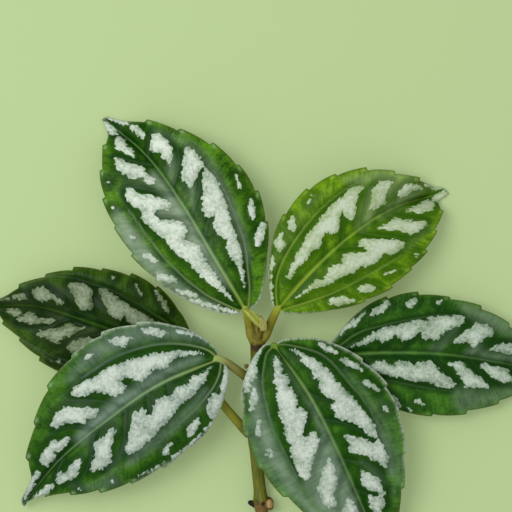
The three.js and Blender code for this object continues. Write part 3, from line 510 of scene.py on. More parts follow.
            [(1, -1.2), (5, -3), (15, -5), (20, -5.5), (30, -6.8), (40, -7.5)],
        ),
        side_veins=[
            [(16, 1.9), (19, 4), (21, 6)],
            [(24, 3.1), (26, 6), (27.5, 8.4)],
            [(33, 3.6), (35, 6.5), (38, 9.5), (41.5, 12.5), (43.5, 14.6), (44, 17)],
            [(46, 3.1), (48.5, 6.4), (52, 8.6), (57, 9.2), (61, 8)],
            [(22, 2.9), (26, 1.6), (28.5, 0)],
            [(32.5, 3.5), (35, 0.8), (38, -2), (41, -5), (43, -8)],
            [(44, 3.3), (46.5, 0.4), (50, -3), (53, -4.6), (58, -5)],
            [(56, 2.1), (60, -1.4), (64, -3)],
        ],
        painted_sheen=[
            (0.8, [(32.4, 4.4), (35.6, 8), (39.6, 11.8), (37, 7.6), (34.6, 4.8)]),
            (0.85, [(43, 4.2), (47, 7), (50, 5), (58, 4.6), (64, 2.6), (56, 3), (48, 3.6)]),
            (0.75, [(45, 14.5), (52, 12), (60, 8.6), (64, 8), (58, 14), (50, 17.5), (40, 19)]),
            (0.6, [(41, -6.5), (50, -6.6), (60, -4.6), (58, -8), (50, -11.5), (42, -13)]),
        ],
        patches=[
            [(8, 3), (9.5, 4.5), (11, 5.5), (13, 7), (14.5, 8.2), (16, 9.2), (18.5, 10.2), (21, 11.1),
             (22.5, 11.2), (24, 12), (26.5, 12.7), (29, 13.2), (30.5, 13), (31, 14), (34, 14.7),
             (37.5, 15.4), (40.5, 15.2), (41.7, 14.5), (41, 12.7), (38.5, 11.7), (36.5, 10.5), (35, 9),
             (34.2, 7.7), (32, 8), (30, 7.5), (29.2, 8.2), (29, 10), (28, 9), (26, 7.5), (23.5, 6.7),
             (22, 7.5), (21.5, 8.5), (20, 7), (17.5, 5.7), (15.5, 6.5), (13.5, 5), (11.5, 4.2),
             (9.5, 4)],
            [(39, 7.2), (39.5, 8.7), (41, 10), (42.5, 11), (44.5, 12.5), (44.7, 13.7), (47, 13.5),
             (49.5, 13), (51, 11.5), (50.2, 10), (48.5, 9.7), (47, 8), (45.5, 6.2), (44.2, 6.5),
             (43.2, 7.7), (41, 7.2)],
            [(50.2, 5.5), (50.7, 6.7), (52.5, 7.7), (55, 8.2), (57, 8.2), (60, 7.5), (61, 6), (58, 5),
             (55, 5.3), (52.5, 5.7)],
            [(62, 3), (63, 4.6), (66, 4), (66.5, 2.6), (64, 2.4)],
            [(4.7, 7.5), (6, 9.5), (8.5, 11.5), (10.5, 13.5), (12.5, 15), (11, 13), (9.7, 10.5),
             (9.5, 9.7), (7.5, 9), (5.5, 7.2)],
            [(13.5, 13.2), (14, 15), (16, 16.5), (18, 18), (19.2, 17.5), (18, 15.5), (16, 14),
             (14.5, 13.2)],
            [(23.7, 17.7), (25, 19), (26.5, 19.5), (27.4, 18.6), (26, 17.5), (25.2, 16.5)],
            [(6, -0.6), (10, -1), (14, -2), (15.5, -0.5), (18.5, 0.1), (21.5, -1), (22, 0.2),
             (24.5, 0.5), (26.5, 0.4), (28.5, -0.5), (28.7, 0.5), (32, 1.1), (33.5, 0.5), (35.5, -1.5),
             (38, -3.2), (40, -4.5), (40.5, -5.5), (39, -6.7), (37, -6.2), (34, -5.7), (31, -5),
             (29, -5.5), (26, -5), (23.5, -4.5), (21, -4.2), (18, -3.5), (14, -3.4), (9, -2.4)],
            [(37.7, 1), (39.5, 1.5), (42, 1.4), (43.5, 0.5), (46, -1.5), (48.5, -3), (50.5, -4.5),
             (50, -5.9), (47, -5.7), (44, -6), (43, -4.5), (41, -2), (39.5, 0)],
            [(47.5, 1.2), (49, 1.6), (52, 1), (55, 0.5), (56.5, 0), (57.7, -2), (59, -3),
             (57.7, -3.2), (55, -3.5), (52, -2.5), (50, -1), (48.5, 0.2)],
            [(60, -0.2), (63, 0.2), (66, -0.2), (65, -2), (62, -2.2)],
            [(21.5, -10), (23, -10.5), (24, -12), (25.2, -13), (23.5, -13.5), (22, -11.5)],
            [(28.7, -11.2), (30, -10.5), (31, -11.5), (30, -12)],
        ],
        strips=[(0.4, [(27, -13.6), (28.5, -14.2)])],
        dots=[(33.7, 19, 0.8), (31.6, -12.2, 0.45)],
        neck=(0.12, 0.12),
        edging=(0.35, 0.35),
        tones=dict(dark="#0e3404", green="#457621", low="#6c8165", vein="#50693f", silver="#b8c5b2",
                   midrib="#5f8842", young="#628c34", stalk="#8c923c"),
    ),
]

# Young growth between the two top leaves, and the buds and scar on the stem
YOUNG_LEAF = dict(
    path=[(-1.6, 2.7, 13.4), (-3.3, 4.9, 14.1), (-5.5, 6.8, 14.6), (-7.7, 8.4, 14.5)],
    widths=[0.85, 1.3, 1.25, 0.7], fold=0.5, thickness=0.7,
)
BUD_SCALE = dict(
    path=[(-1.9, 2.3, 14.6), (-2.1, 3.8, 15.2), (-2.4, 5.3, 15.5), (-2.9, 6.9, 15.2)],
    widths=[0.9, 1.15, 0.8, 0.12], fold=0.35, thickness=0.65,
)
END_BUD = dict(path=[(-3.7, -1.0, 10.9), (-3.7, 2.0, 11.7), (-3.6, 5.2, 12.2)], radii=[1.4, 1.5, 1.2])
SIDE_BUD = dict(path=[(-6.8, -8.9, 9.8), (-7.2, -8.4, 9.9), (-7.8, -7.9, 10.0)], radii=[0.7, 0.7, 0.15])
OLD_BUD = dict(path=[(-1.5, -50.7, 3.1), (-0.4, -50.3, 3.6), (1.1, -50.1, 3.5)], radii=[1.3, 2.0, 1.7])
OLD_STUB = dict(path=[(-4.0, -50.9, 3.0), (-5.4, -50.3, 3.0), (-6.7, -49.8, 3.0)], radii=[1.1, 0.9, 0.65])
HOLLOW_SHADE = (-2.2, -50.2, 5.0)   # painted shade in the hollow between the stem and the old bud
OLD_BUD_CROWN = (-0.3, -50.2)   # pale top of the old bud, round which painted shade darkens its sides
SCALE_POINT = (5.9, 6.9)        # places along y between which the scale darkens to its point
YOUNG_VEINS = 1.9               # spacing of the young leaf's veins, measured as x + 0.9 y

CAMERA_PLACE = (-4.25, 24.6, 649)   # from where the camera looks straight down


# Curves and closed meshes

def catmull(points, share, run_out=True):
    """Points of a Catmull-Rom curve at shares of its knots. run_out carries its ends straight on."""
    knots = np.asarray(points, float)
    first, last = (2 * knots[0] - knots[1], 2 * knots[-1] - knots[-2]) if run_out else (knots[0], knots[-1])
    knots = np.vstack([first, knots, last])
    t = np.clip(np.asarray(share, float), 0, 1) * (len(knots) - 3)
    i = np.minimum(t.astype(int), len(knots) - 4)
    w = (t - i)[..., None]
    a, b, c, d = knots[i], knots[i + 1], knots[i + 2], knots[i + 3]
    return b + w * ((c - a) / 2 + w * (a - 2.5 * b + 2 * c - d / 2 + w * (1.5 * (b - c) + (d - a) / 2)))


def smooth(value, low, high):
    """0 below low, 1 above high, with a soft rise between them."""
    t = np.clip((value - low) / (high - low), 0, 1)
    return t * t * (3 - 2 * t)


def directions(points):
    """Left and up directions along a row of points."""
    tangent = np.gradient(points, axis=0)
    tangent /= np.linalg.norm(tangent, axis=1)[:, None]
    left = np.stack([-tangent[:, 1], tangent[:, 0], 0 * tangent[:, 0]], axis=1)
    left /= np.linalg.norm(left, axis=1)[:, None]
    return left, np.cross(tangent, left)


def round_rings(points, radii, angles):
    """Rings round a row of points. radii has one value for each point and angle."""
    left, up = directions(points)
    spokes = left[:, None] * np.cos(angles)[:, None] + up[:, None] * np.sin(angles)[:, None]
    return points[:, None] + spokes * radii[..., None]


def loft(rings):
    """Vertices and faces of the closed skin through rings, each read from left over the top to right."""
    count, sides, _ = rings.shape
    k, i = np.meshgrid(np.arange(count - 1), np.arange(sides), indexing="ij")
    here, after = k * sides + i, k * sides + (i + 1) % sides
    faces = np.stack([here, after, after + sides, here + sides], axis=-1).reshape(-1, 4).tolist()
    vertices = np.vstack([rings.reshape(-1, 3), rings[0].mean(0), rings[-1].mean(0)])
    start, end = count * sides, count * sides + 1
    last = (count - 1) * sides
    for j in range(sides):
        following = (j + 1) % sides
        faces.append([start, following, j])
        faces.append([end, last + j, last + following])
    return vertices, faces


def put_fields(mesh, fields):
    """Gives a mesh's points one float attribute for each field."""
    for name, values in fields.items():
        attribute = mesh.attributes.new(name, "FLOAT", "POINT")
        attribute.data.foreach_set("value", np.asarray(values, np.float32))


def piece(name, vertices, faces, material, fields, edges=()):
    """Smooth-shaded mesh object from millimetre vertices, with its fields."""
    mesh = bpy.data.meshes.new(name)
    mesh.from_pydata((np.asarray(vertices) * MM).tolist(), edges, faces)
    put_fields(mesh, fields)
    mesh.shade_smooth()
    mesh.materials.append(material)
    made = bpy.data.objects.new(name, mesh)
    bpy.context.scene.collection.objects.link(made)
    return made


def stand_for(made, slot, *nodes):
    """Puts a piece on the shoot in place of its nodes."""
    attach(made, "root")
    if nodes:
        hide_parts(*nodes)


# Node trees

FACTOR, MIX_A, MIX_B, MIXED = 0, 6, 7, 2      # sockets of a colour mix


def linear(code):
    """Linear RGBA of an sRGB hex colour."""
    values = [int(code[i:i + 2], 16) / 255 for i in (1, 3, 5)]
    return [v / 12.92 if v <= 0.04045 else ((v + 0.055) / 1.055) ** 2.4 for v in values] + [1.0]


def add(tree, kind, inputs=None, **settings):
    """Adds a node with its settings. An input is a value, or an output to link from."""
    made = tree.nodes.new(kind)
    for key, value in settings.items():
        setattr(made, key, value)
    for key, value in (inputs or {}).items():
        if isinstance(value, bpy.types.NodeSocket):
            tree.links.new(value, made.inputs[key])
        else:
            made.inputs[key].default_value = value
    return made


def limb_tree():
    """Node tree that grows a closed round limb along every run of edges, as thick as its points say."""
    tree = bpy.data.node_groups.new("limb_along_path", "GeometryNodeTree")
    for name, kind in (("Geometry", "NodeSocketGeometry"), ("Sides", "NodeSocketInt"),
                       ("Fullness", "NodeSocketFloat"), ("Material", "NodeSocketMaterial")):
        tree.interface.new_socket(name, in_out="INPUT", socket_type=kind)
    tree.interface.new_socket("Geometry", in_out="OUTPUT", socket_type="NodeSocketGeometry")
    given = add(tree, "NodeGroupInput").outputs
    run = add(tree, "GeometryNodeMeshToCurve", {"Mesh": given["Geometry"]})
    girth = add(tree, "GeometryNodeInputNamedAttribute", {"Name": "girth"}, data_type="FLOAT")
    radius = add(tree, "ShaderNodeMath", {0: girth.outputs["Attribute"], 1: given["Fullness"]},
                 operation="MULTIPLY")
    section = add(tree, "GeometryNodeCurvePrimitiveCircle", {"Resolution": given["Sides"], "Radius": 1.0},
                  mode="RADIUS")
    limb = add(tree, "GeometryNodeCurveToMesh", {
        "Curve": run.outputs[0], "Profile Curve": section.outputs[0], "Scale": radius.outputs[0],
        "Fill Caps": True,
    })
    whole = add(tree, "GeometryNodeRealizeInstances", {"Geometry": limb.outputs[0]})
    coated = add(tree, "GeometryNodeSetMaterial", {
        "Geometry": whole.outputs[0], "Material": given["Material"],
    })
    add(tree, "NodeGroupOutput", {"Geometry": coated.outputs[0]})
    return tree


LIMB = limb_tree()


def grow_limbs(name, runs, material, sides, fullness=1.0):
    """Object that grows limbs along runs of points, each point an x, y, z and radius in millimetres."""
    places = np.vstack(runs)
    ends = np.cumsum([len(run) for run in runs])
    edges = [(i, i + 1) for i in range(len(places) - 1) if i + 1 not in ends]
    made = piece(name, places[:, :3], [], material, {"girth": places[:, 3] * MM}, edges)
    growth = made.modifiers.new("growth", "NODES")
    growth.node_group = LIMB
    sockets = {item.name: item.identifier for item in LIMB.interface.items_tree if item.in_out == "INPUT"}
    growth[sockets["Sides"]] = sides
    growth[sockets["Fullness"]] = fullness
    growth[sockets["Material"]] = material
    return made


def settle(made):
    """Turns an object with its modifiers into a plain smooth mesh."""
    evaluated = made.evaluated_get(bpy.context.evaluated_depsgraph_get())
    mesh = bpy.data.meshes.new_from_object(evaluated)
    made.modifiers.clear()
    made.data = mesh
    mesh.name = made.name
    mesh.shade_smooth()
    return mesh


# Leaf skin

BLADE_FIELDS = (    # what each point of a leaf is marked with, for its skin
    "silver",       # millimetres inside the edge of the silver
    "painted_sheen",        # painted grey sheen: reflected light painted into the colour
    "painted_shade",         # painted shade: darker green in the troughs beside veins and midrib and round the raised silver
    "line",         # pale line of a side vein
    "midrib",       # pale line of the midrib, and flecks at the tips of the teeth
    "rim",          # dark olive edge
    "hem",          # thin silver line along the edge
    "outer",        # nearness to the margin
    "row",          # millimetres along the leaf
    "off",          # millimetres from its midrib
    "stalk",        # stalk, fading into the blade
    "run",          # share of the stalk that is passed, 1 on the blade
    "under",        # underside
)


def leaf_patterns(tree, field):
    """Outputs of the patterns that break up a leaf's colours."""
    place = add(tree, "ShaderNodeTexCoord").outputs["Object"]
    rows = add(tree, "ShaderNodeCombineXYZ", {"X": field["row"], "Y": field["off"]}).outputs[0]
    streaky = add(tree, "ShaderNodeMapping", {"Vector": rows, "Scale": (*STREAKS, 1.0)}).outputs[0]
    fibrous = add(tree, "ShaderNodeMapping", {"Vector": rows, "Scale": (*FIBRES, 1.0)}).outputs[0]
    mottle = add(tree, "ShaderNodeTexNoise", {"Vector": place, "Scale": MOTTLES / MM, "Detail": 2.0})
    grain = add(tree, "ShaderNodeTexNoise", {"Vector": place, "Scale": GRAINS / MM, "Detail": 2.0})
    streaks = add(tree, "ShaderNodeTexNoise", {"Vector": streaky, "Scale": 1.0, "Detail": 1.0})
    fibres = add(tree, "ShaderNodeTexNoise", {"Vector": fibrous, "Scale": 1.0, "Detail": 1.0})
    pores = add(tree, "ShaderNodeTexVoronoi", {"Vector": place, "Scale": PORES / MM}, feature="F1")
    return SimpleNamespace(
        mottle=mottle.outputs["Fac"], grain=grain.outputs["Fac"], streaks=streaks.outputs["Fac"],
        fibres=fibres.outputs["Fac"], pores=pores.outputs["Distance"],
    )


def leaf_green(tree, field, pattern):
    """Relief of the green, how light it is, and how much painted sheen and silver hem lie over it."""
    ribbing = add(tree, "ShaderNodeMapRange", {
        "Value": pattern.streaks, "From Min": 0.3, "From Max": 0.7, "To Min": -0.04, "To Max": 0.14,
    })
    near_edge = add(tree, "ShaderNodeMath", {0: ribbing.outputs[0], 1: field["outer"]}, operation="MULTIPLY")
    fine = add(tree, "ShaderNodeMath", {0: pattern.grain, 1: 0.45, 2: near_edge.outputs[0]},
               operation="MULTIPLY_ADD")
    shade = add(tree, "ShaderNodeMath", {0: pattern.mottle, 1: 0.7, 2: fine.outputs[0]},
                operation="MULTIPLY_ADD")
    tone = add(tree, "ShaderNodeMapRange", {"Value": shade.outputs[0], "From Min": 0.38, "From Max": 0.84})
    # Painted grey sheen of reflected light, broken up by streaks and mottles
    sheen_pattern = add(tree, "ShaderNodeMath", {0: pattern.streaks, 1: 0.6, 2: pattern.mottle},
                 operation="MULTIPLY_ADD")
    sheen_breakup = add(tree, "ShaderNodeMapRange", {
        "Value": sheen_pattern.outputs[0], "From Min": 0.6, "From Max": 0.95, "To Min": 0.6, "To Max": 1.0,
    })
    painted_sheen_share = add(tree, "ShaderNodeMath", {0: field["painted_sheen"], 1: sheen_breakup.outputs[0]}, operation="MULTIPLY")
    broken = add(tree, "ShaderNodeMapRange", {
        "Value": pattern.streaks, "From Min": 0.38, "From Max": 0.6, "To Min": 0.4,
    })
    hem = add(tree, "ShaderNodeMath", {0: field["hem"], 1: broken.outputs[0]}, operation="MULTIPLY")
    return shade.outputs[0], tone.outputs[0], painted_sheen_share.outputs[0], hem.outputs[0]


def leaf_silver(tree, field, pattern, tones):
    """How far each place is silver, and its colour there. Cross fibres scallop the silver's edge, pores
    break it up, and it is duller towards its edge."""
    shift = add(tree, "ShaderNodeMath", {0: pattern.fibres, 1: 2.0, 2: -0.9}, operation="MULTIPLY_ADD")
    frayed = add(tree, "ShaderNodeMath", {0: field["silver"], 1: shift.outputs[0]}, operation="ADD")
    inside = add(tree, "ShaderNodeMapRange", {
        "Value": frayed.outputs[0], "From Min": -0.05, "From Max": 0.15,
    })
    open_pores = add(tree, "ShaderNodeMapRange", {
        "Value": pattern.pores, "From Min": 0.05, "From Max": 0.25, "To Min": 0.75,
    })
    plated = add(tree, "ShaderNodeMath", {0: inside.outputs[0], 1: open_pores.outputs[0]},
                 operation="MULTIPLY")
    ribbed = add(tree, "ShaderNodeMath", {0: pattern.fibres, 1: 0.45, 2: pattern.mottle},
                 operation="MULTIPLY_ADD")
    rough = add(tree, "ShaderNodeMath", {0: pattern.grain, 1: 0.85, 2: ribbed.outputs[0]},
                operation="MULTIPLY_ADD")
    thick = add(tree, "ShaderNodeMapRange", {
        "Value": frayed.outputs[0], "From Min": 0.1, "From Max": 1.8, "To Min": 0.0, "To Max": 0.3,
    })
    uneven = add(tree, "ShaderNodeMath", {0: rough.outputs[0], 1: thick.outputs[0]}, operation="ADD")
    bright = add(tree, "ShaderNodeMapRange", {
        "Value": uneven.outputs[0], "From Min": 0.96, "From Max": 1.6, "To Min": 0.02,
    })
    silver = add(tree, "ShaderNodeMix", {
        FACTOR: bright.outputs[0], MIX_A: linear(tones["low"]), MIX_B: linear(tones["silver"]),
    }, data_type="RGBA")
    return plated.outputs[0], silver.outputs[MIXED]


def leaf_veins(tree, field, tones):
    """Colours of the midrib and of the side veins, which are as yellow as the stalk where they leave it."""
    aged = add(tree, "ShaderNodeMapRange", {"Value": field["row"], "From Min": 3.0, "From Max": 30.0})
    return [add(tree, "ShaderNodeMix", {
        FACTOR: aged.outputs[0], MIX_A: linear(tones["young"]), MIX_B: linear(tones[grown]),
    }, data_type="RGBA").outputs[MIXED] for grown in ("midrib", "vein")]


def leaf_stalk(tree, field, tones):
    """Colour of the stalk, which starts in the stem's olive brown and greens towards the blade."""
    rooted = add(tree, "ShaderNodeMapRange", {"Value": field["run"], "From Max": 0.4})
    rising = add(tree, "ShaderNodeMix", {
        FACTOR: rooted.outputs[0], MIX_A: linear("#6b6a1e"), MIX_B: linear(tones["stalk"]),
    }, data_type="RGBA")
    greening = add(tree, "ShaderNodeMapRange", {"Value": field["run"], "From Min": 0.6, "To Max": 0.8})
    stalk = add(tree, "ShaderNodeMix", {
        FACTOR: greening.outputs[0], MIX_A: rising.outputs[MIXED], MIX_B: linear(tones["young"]),
    }, data_type="RGBA")
    return stalk.outputs[MIXED]


def leaf_skin(name, tones):
    """Living leaf under a waxy cuticle: a soft gloss over dark green, where silver patches with air under the
    skin are paler, matt and finely grained. Over the green a grey sheen of reflected light is painted in
    places, and shade is painted in the troughs and round the raised silver. Underneath it is pale and dull."""
    material = bpy.data.materials.new(name)
    material.use_nodes = True
    tree = material.node_tree
    tree.nodes.clear()
    field = {key: add(tree, "ShaderNodeAttribute", attribute_name=key).outputs["Fac"] for key in BLADE_FIELDS}
    pattern = leaf_patterns(tree, field)
    shade, tone, painted_sheen_share, hem = leaf_green(tree, field, pattern)
    plated, silver = leaf_silver(tree, field, pattern, tones)
    midrib, vein = leaf_veins(tree, field, tones)
    stalk = leaf_stalk(tree, field, tones)
    pale = add(tree, "ShaderNodeMix", {
        FACTOR: tone, MIX_A: linear("#71894a"), MIX_B: linear("#869c5d"),
    }, data_type="RGBA").outputs[MIXED]

    # Layers of colour, each over the one before, among them painted shade and a painted grey sheen
    colour = linear(tones["dark"])
    for factor, over in (
            (tone, linear(tones["green"])), (field["painted_shade"], linear(tones["dark"])),
            (painted_sheen_share, linear(tones["low"])), (plated, silver), (field["line"], vein), (field["midrib"], midrib),
            (field["rim"], linear("#4f5a1e")), (hem, linear(tones["silver"])), (field["stalk"], stalk),
            (field["under"], pale)):
        layer = add(tree, "ShaderNodeMix", {FACTOR: factor, MIX_A: colour, MIX_B: over}, data_type="RGBA")
        colour = layer.outputs[MIXED]

    gloss = add(tree, "ShaderNodeMapRange", {"Value": plated, "To Min": 0.3, "To Max": 0.55})
    lumps = add(tree, "ShaderNodeMath", {0: pattern.grain, 1: plated}, operation="MULTIPLY")
    height = add(tree, "ShaderNodeMath", {0: lumps.outputs[0], 1: 1.5, 2: shade}, operation="MULTIPLY_ADD")
    bump = add(tree, "ShaderNodeBump", {"Height": height.outputs[0], "Strength": 0.5, "Distance": 0.1 * MM})
    skin = add(tree, "ShaderNodeBsdfPrincipled", {
        "Base Color": colour, "Roughness": gloss.outputs[0], "Normal": bump.outputs[0],
        "IOR": 1.45, "Specular IOR Level": 0.08,
    })
    add(tree, "ShaderNodeOutputMaterial", {"Surface": skin.outputs[0]})
    return material


# Skins of ribs, stem and buds

def plant_skin(name, dark, light, roughness, streak, marks):
    """Juicy plant skin or dry brown scale: streaked lengthwise, with a marked colour over it wherever
    a field of that name says so. streak is the width of a streak in millimetres."""
    material = bpy.data.materials.new(name)
    material.use_nodes = True
    tree = material.node_tree
    tree.nodes.clear()
    place = add(tree, "ShaderNodeTexCoord").outputs["Object"]
    drawn_out = add(tree, "ShaderNodeMapping", {"Vector": place, "Scale": (1.0, DRAWN_OUT, 1.0)})
    streaks = add(tree, "ShaderNodeTexNoise", {
        "Vector": drawn_out.outputs[0], "Scale": 1 / (streak * MM), "Detail": 2.0,
    })
    blots = add(tree, "ShaderNodeTexNoise", {"Vector": place, "Scale": BLOTS / MM, "Detail": 2.0})
    specks = add(tree, "ShaderNodeTexNoise", {"Vector": place, "Scale": SPECKS / MM, "Detail": 2.0})
    tone = add(tree, "ShaderNodeMapRange", {
        "Value": streaks.outputs["Fac"], "From Min": 0.35, "From Max": 0.65,
    })
    colour = add(tree, "ShaderNodeMix", {
        FACTOR: tone.outputs[0], MIX_A: linear(dark), MIX_B: linear(light),
    }, data_type="RGBA")
    for field, marked in marks.items():
        strength = add(tree, "ShaderNodeAttribute", attribute_name=field).outputs["Fac"]
        ragged = add(tree, "ShaderNodeMath", {0: blots.outputs["Fac"], 1: 1.4, 2: strength},
                     operation="MULTIPLY_ADD")
        spread = add(tree, "ShaderNodeMapRange", {
            "Value": ragged.outputs[0], "From Min": 0.9, "From Max": 1.6,
        })
        colour = add(tree, "ShaderNodeMix", {
            FACTOR: spread.outputs[0], MIX_A: colour.outputs[MIXED], MIX_B: linear(marked),
        }, data_type="RGBA")
    height = add(tree, "ShaderNodeMath", {0: streaks.outputs["Fac"], 1: specks.outputs["Fac"]},
                 operation="ADD")
    bump = add(tree, "ShaderNodeBump", {"Height": height.outputs[0], "Strength": 0.4, "Distance": 0.12 * MM})
    skin = add(tree, "ShaderNodeBsdfPrincipled", {
        "Base Color": colour.outputs[MIXED], "Roughness": roughness, "Normal": bump.outputs[0],
        "IOR": 1.45, "Specular IOR Level": 0.3,
    })
    add(tree, "ShaderNodeOutputMaterial", {"Surface": skin.outputs[0]})
    return material


# Places on the stem and in a leaf

stem_knots = catmull(STEM_POINTS, np.linspace(0, 1, 2001))
stem_run = np.concatenate([[0], np.cumsum(np.linalg.norm(np.diff(stem_knots, axis=0), axis=1))])


def stem_at(share):
    """Points of the stem's axis at shares of its length."""
    return np.stack([np.interp(share * stem_run[-1], stem_run, stem_knots[:, i]) for i in range(3)], axis=-1)


def length_of(leaf):
    """Length of a leaf's blade in plan."""
    return np.linalg.norm(np.subtract(leaf["tip"], leaf["base"]))


def to_shoot(leaf, points):
    """Points of a leaf's own frame in the shoot's frame."""
    cosine, sine = np.subtract(leaf["tip"], leaf["base"]) / length_of(leaf)
    x, y = points[..., 0], points[..., 1]
    return np.stack([leaf["base"][0] + cosine * x - sine * y, leaf["base"][1] + sine * x + cosine * y,
                     points[..., 2]], axis=-1)


def curves_of(leaf):
    """Knots of a leaf's midrib and of its two margins, in its own frame."""
    length = length_of(leaf)
    midrib = [(length * i / 4, bow, height) for i, (bow, height) in enumerate(leaf["midrib"])]
    return midrib, [[(0, 0), *leaf[side], (length, 0)] for side in ("left", "right")]


def stalk_of(leaf, midrib):
    """Knots of a leaf's stalk, and the places along them where it is clear of its cushion and where it
    meets the blade."""
    on_blade = catmull(midrib, [0, BASE_SHARE]) - [0, 0, 0.6 * PETIOLE_RADIUS]
    knots = np.vstack([leaf["stalk"], to_shoot(leaf, on_blade)])
    axis = stem_at(np.linspace(0, 1, 121))
    reach = STEM_RADIUS + CUSHION_RADIUS + CUSHION_GAP
    clear = 0
    while np.linalg.norm(axis - catmull(knots, clear), axis=1).min() < reach:
        clear += 0.005
    return knots, clear, (len(knots) - 2) / (len(knots) - 1)


# Patterns of a leaf

def gap_to(points, line):
    """Distance from each point to a line of straight runs, and the share of the line passed there."""
    start, run = line[:-1], np.diff(line, axis=0)
    offset = points[:, None] - start
    t = np.clip((offset * run).sum(2) / np.maximum((run ** 2).sum(1), 1e-9), 0, 1)
    gaps = np.linalg.norm(offset - t[..., None] * run, axis=2)
    nearest = gaps.argmin(1)
    rows = np.arange(len(points))
    return gaps[rows, nearest], (nearest + t[rows, nearest]) / len(run)


def depth_inside(points, outline):
    """Distance from each point to a closed outline with its corners rounded, positive inside it. It
    isn't measured further than FAR outside the outline's own box."""
    around = np.array(outline[-1:] + outline + outline[:2], float)
    line = catmull(around, np.linspace(0, 1, 3 * (len(around) - 1) + 1))[3:-3]
    depth = np.full(len(points), -float(FAR))
    near = ((points > line.min(0) - FAR) & (points < line.max(0) + FAR)).all(1)
    here = points[near]
    gap, _ = gap_to(here, line)
    start, end = line[:-1], line[1:]
    crossing = (start[:, 1] > here[:, 1:]) != (end[:, 1] > here[:, 1:])
    rise = np.where(end[:, 1] == start[:, 1], 1e-9, end[:, 1] - start[:, 1])
    meets = here[:, :1] < start[:, 0] + (here[:, 1:] - start[:, 1]) * (end - start)[:, 0] / rise
    depth[near] = np.where((crossing & meets).sum(1) % 2 == 1, gap, -gap)
    return depth


def silver_depth(leaf, points):
    """Millimetres from each point to the edge of the leaf's silver, positive inside it."""
    depth = np.max([depth_inside(points, outline) for outline in leaf["patches"]], axis=0)
    for width, line in leaf["strips"]:
        depth = np.maximum(depth, width / 2 - gap_to(points, np.array(line, float))[0])
    for x, y, radius in leaf["dots"]:
        depth = np.maximum(depth, radius - np.linalg.norm(points - (x, y), axis=1))
    return np.maximum(depth, -FAR)


def vein_fields(leaf, points):
    """How strongly each point lies on the pale line of a vein, and in the trough round it, which is sunk and
    darkened with painted shade.
    """
    line, trough = np.zeros(len(points)), np.zeros(len(points))
    laterals = [[(0, 0), *knots] for knots in leaf["laterals"]]
    for pale, dark, veins in ((0.75, 0.9, laterals), (0.12, 0.9, leaf["side_veins"])):
        for knots in veins:
            curve = catmull(np.array(knots, float), np.linspace(0, 1, 6 * len(knots)))
            gap, passed = gap_to(points, curve)
            ending = 1 - 0.6 * passed
            line = np.maximum(line, pale * ending * np.exp(-(gap / VEIN_LINE) ** 2))
            trough = np.maximum(trough, dark * ending * np.exp(-(gap / VEIN_TROUGH) ** 2))
    return line, trough


def blade_markings(leaf, blade):
    """Depth inside the silver, painted grey sheen, pale vein lines and the troughs round the veins, sunk and
    darkened with painted shade, at each point of a blade.
    """
    points = np.stack([blade.x.ravel(), blade.y.ravel()], axis=1)
    shape = blade.x.shape
    line, trough = (found.reshape(shape) for found in vein_fields(leaf, points))
    # Painted grey sheen of reflected light, weaker in the troughs
    sheens = [strength * smooth(depth_inside(points, outline), *PAINTED_SHEEN_FADE)
              for strength, outline in leaf["painted_sheen"]]
    return SimpleNamespace(
        silver=silver_depth(leaf, points).reshape(shape), line=line, trough=trough,
        painted_sheen=np.max(sheens, axis=0).reshape(shape) * (1 - 0.6 * trough),
    )


# Shape of a leaf

def tooth_stations():
    """Stations from base to tip, with the tip and the foot of every tooth among them."""
    pitch = (LAST_TOOTH - FIRST_TOOTH) / TEETH
    phases = np.concatenate([np.linspace(0, NOTCH, 16)[:-1], [NOTCH, (1 + NOTCH) / 2]])
    teeth = [FIRST_TOOTH + (k + phases) * pitch for k in range(TEETH)]
    before = np.linspace(0.004, FIRST_TOOTH, 48)[:-1]
    after = LAST_TOOTH + (0.999 - LAST_TOOTH) * np.linspace(0, 1, 34) ** 0.9
    return np.concatenate([before, *teeth, after])


def tooth_growth(stations):
    """How far the margin stands out at each station."""
    count = (stations - FIRST_TOOTH) / (LAST_TOOTH - FIRST_TOOTH) * TEETH
    phase = np.clip(count - np.floor(count + 1e-6), 0, 1)
    rising = np.where(phase < NOTCH, (phase / NOTCH) ** 0.7, (1 - phase) / (1 - NOTCH))
    depth = TOOTH_DEPTH * np.take(TOOTH_SHARES, np.clip(np.floor(count + 1e-6), 0, TEETH - 1).astype(int))
    return np.where((count > -1e-6) & (count < TEETH - 1e-6), depth * rising, 0)


def tooth_flecks(leaf, blade):
    """How strongly each point lies on the pale fleck at the tip of a tooth."""
    pitch = (LAST_TOOTH - FIRST_TOOTH) / TEETH
    tips = FIRST_TOOTH + (np.arange(TEETH) + NOTCH - 0.08) * pitch
    gap = np.abs(blade.stations[:, None] - tips).min(1)[:, None] * length_of(leaf)
    return np.exp(-(gap / 0.5) ** 2 - ((blade.from_edge - 0.4) / 0.35) ** 2)


def with_tip(leaf, stations, shares, half):
    """Half widths of a blade, narrowed at its neck and rounded off at its blunt tip."""
    neck = np.where(shares >= 0, *leaf["neck"]) * np.exp(-((stations - NECK) / NECK_REACH) ** 2)[:, None]
    half = half * (1 - neck)[..., None]
    rounding = np.sqrt(1 - np.clip((stations - (1 - TIP_SPAN)) / TIP_SPAN, 0, 1) ** 4)
    blunt = TIP_ROUND * smooth(stations, *TIP_BLEND) * rounding
    side = np.where(shares >= 0, 1, -1)
    half[..., 1] = side * np.maximum(side * half[..., 1], blunt[:, None])
    return half


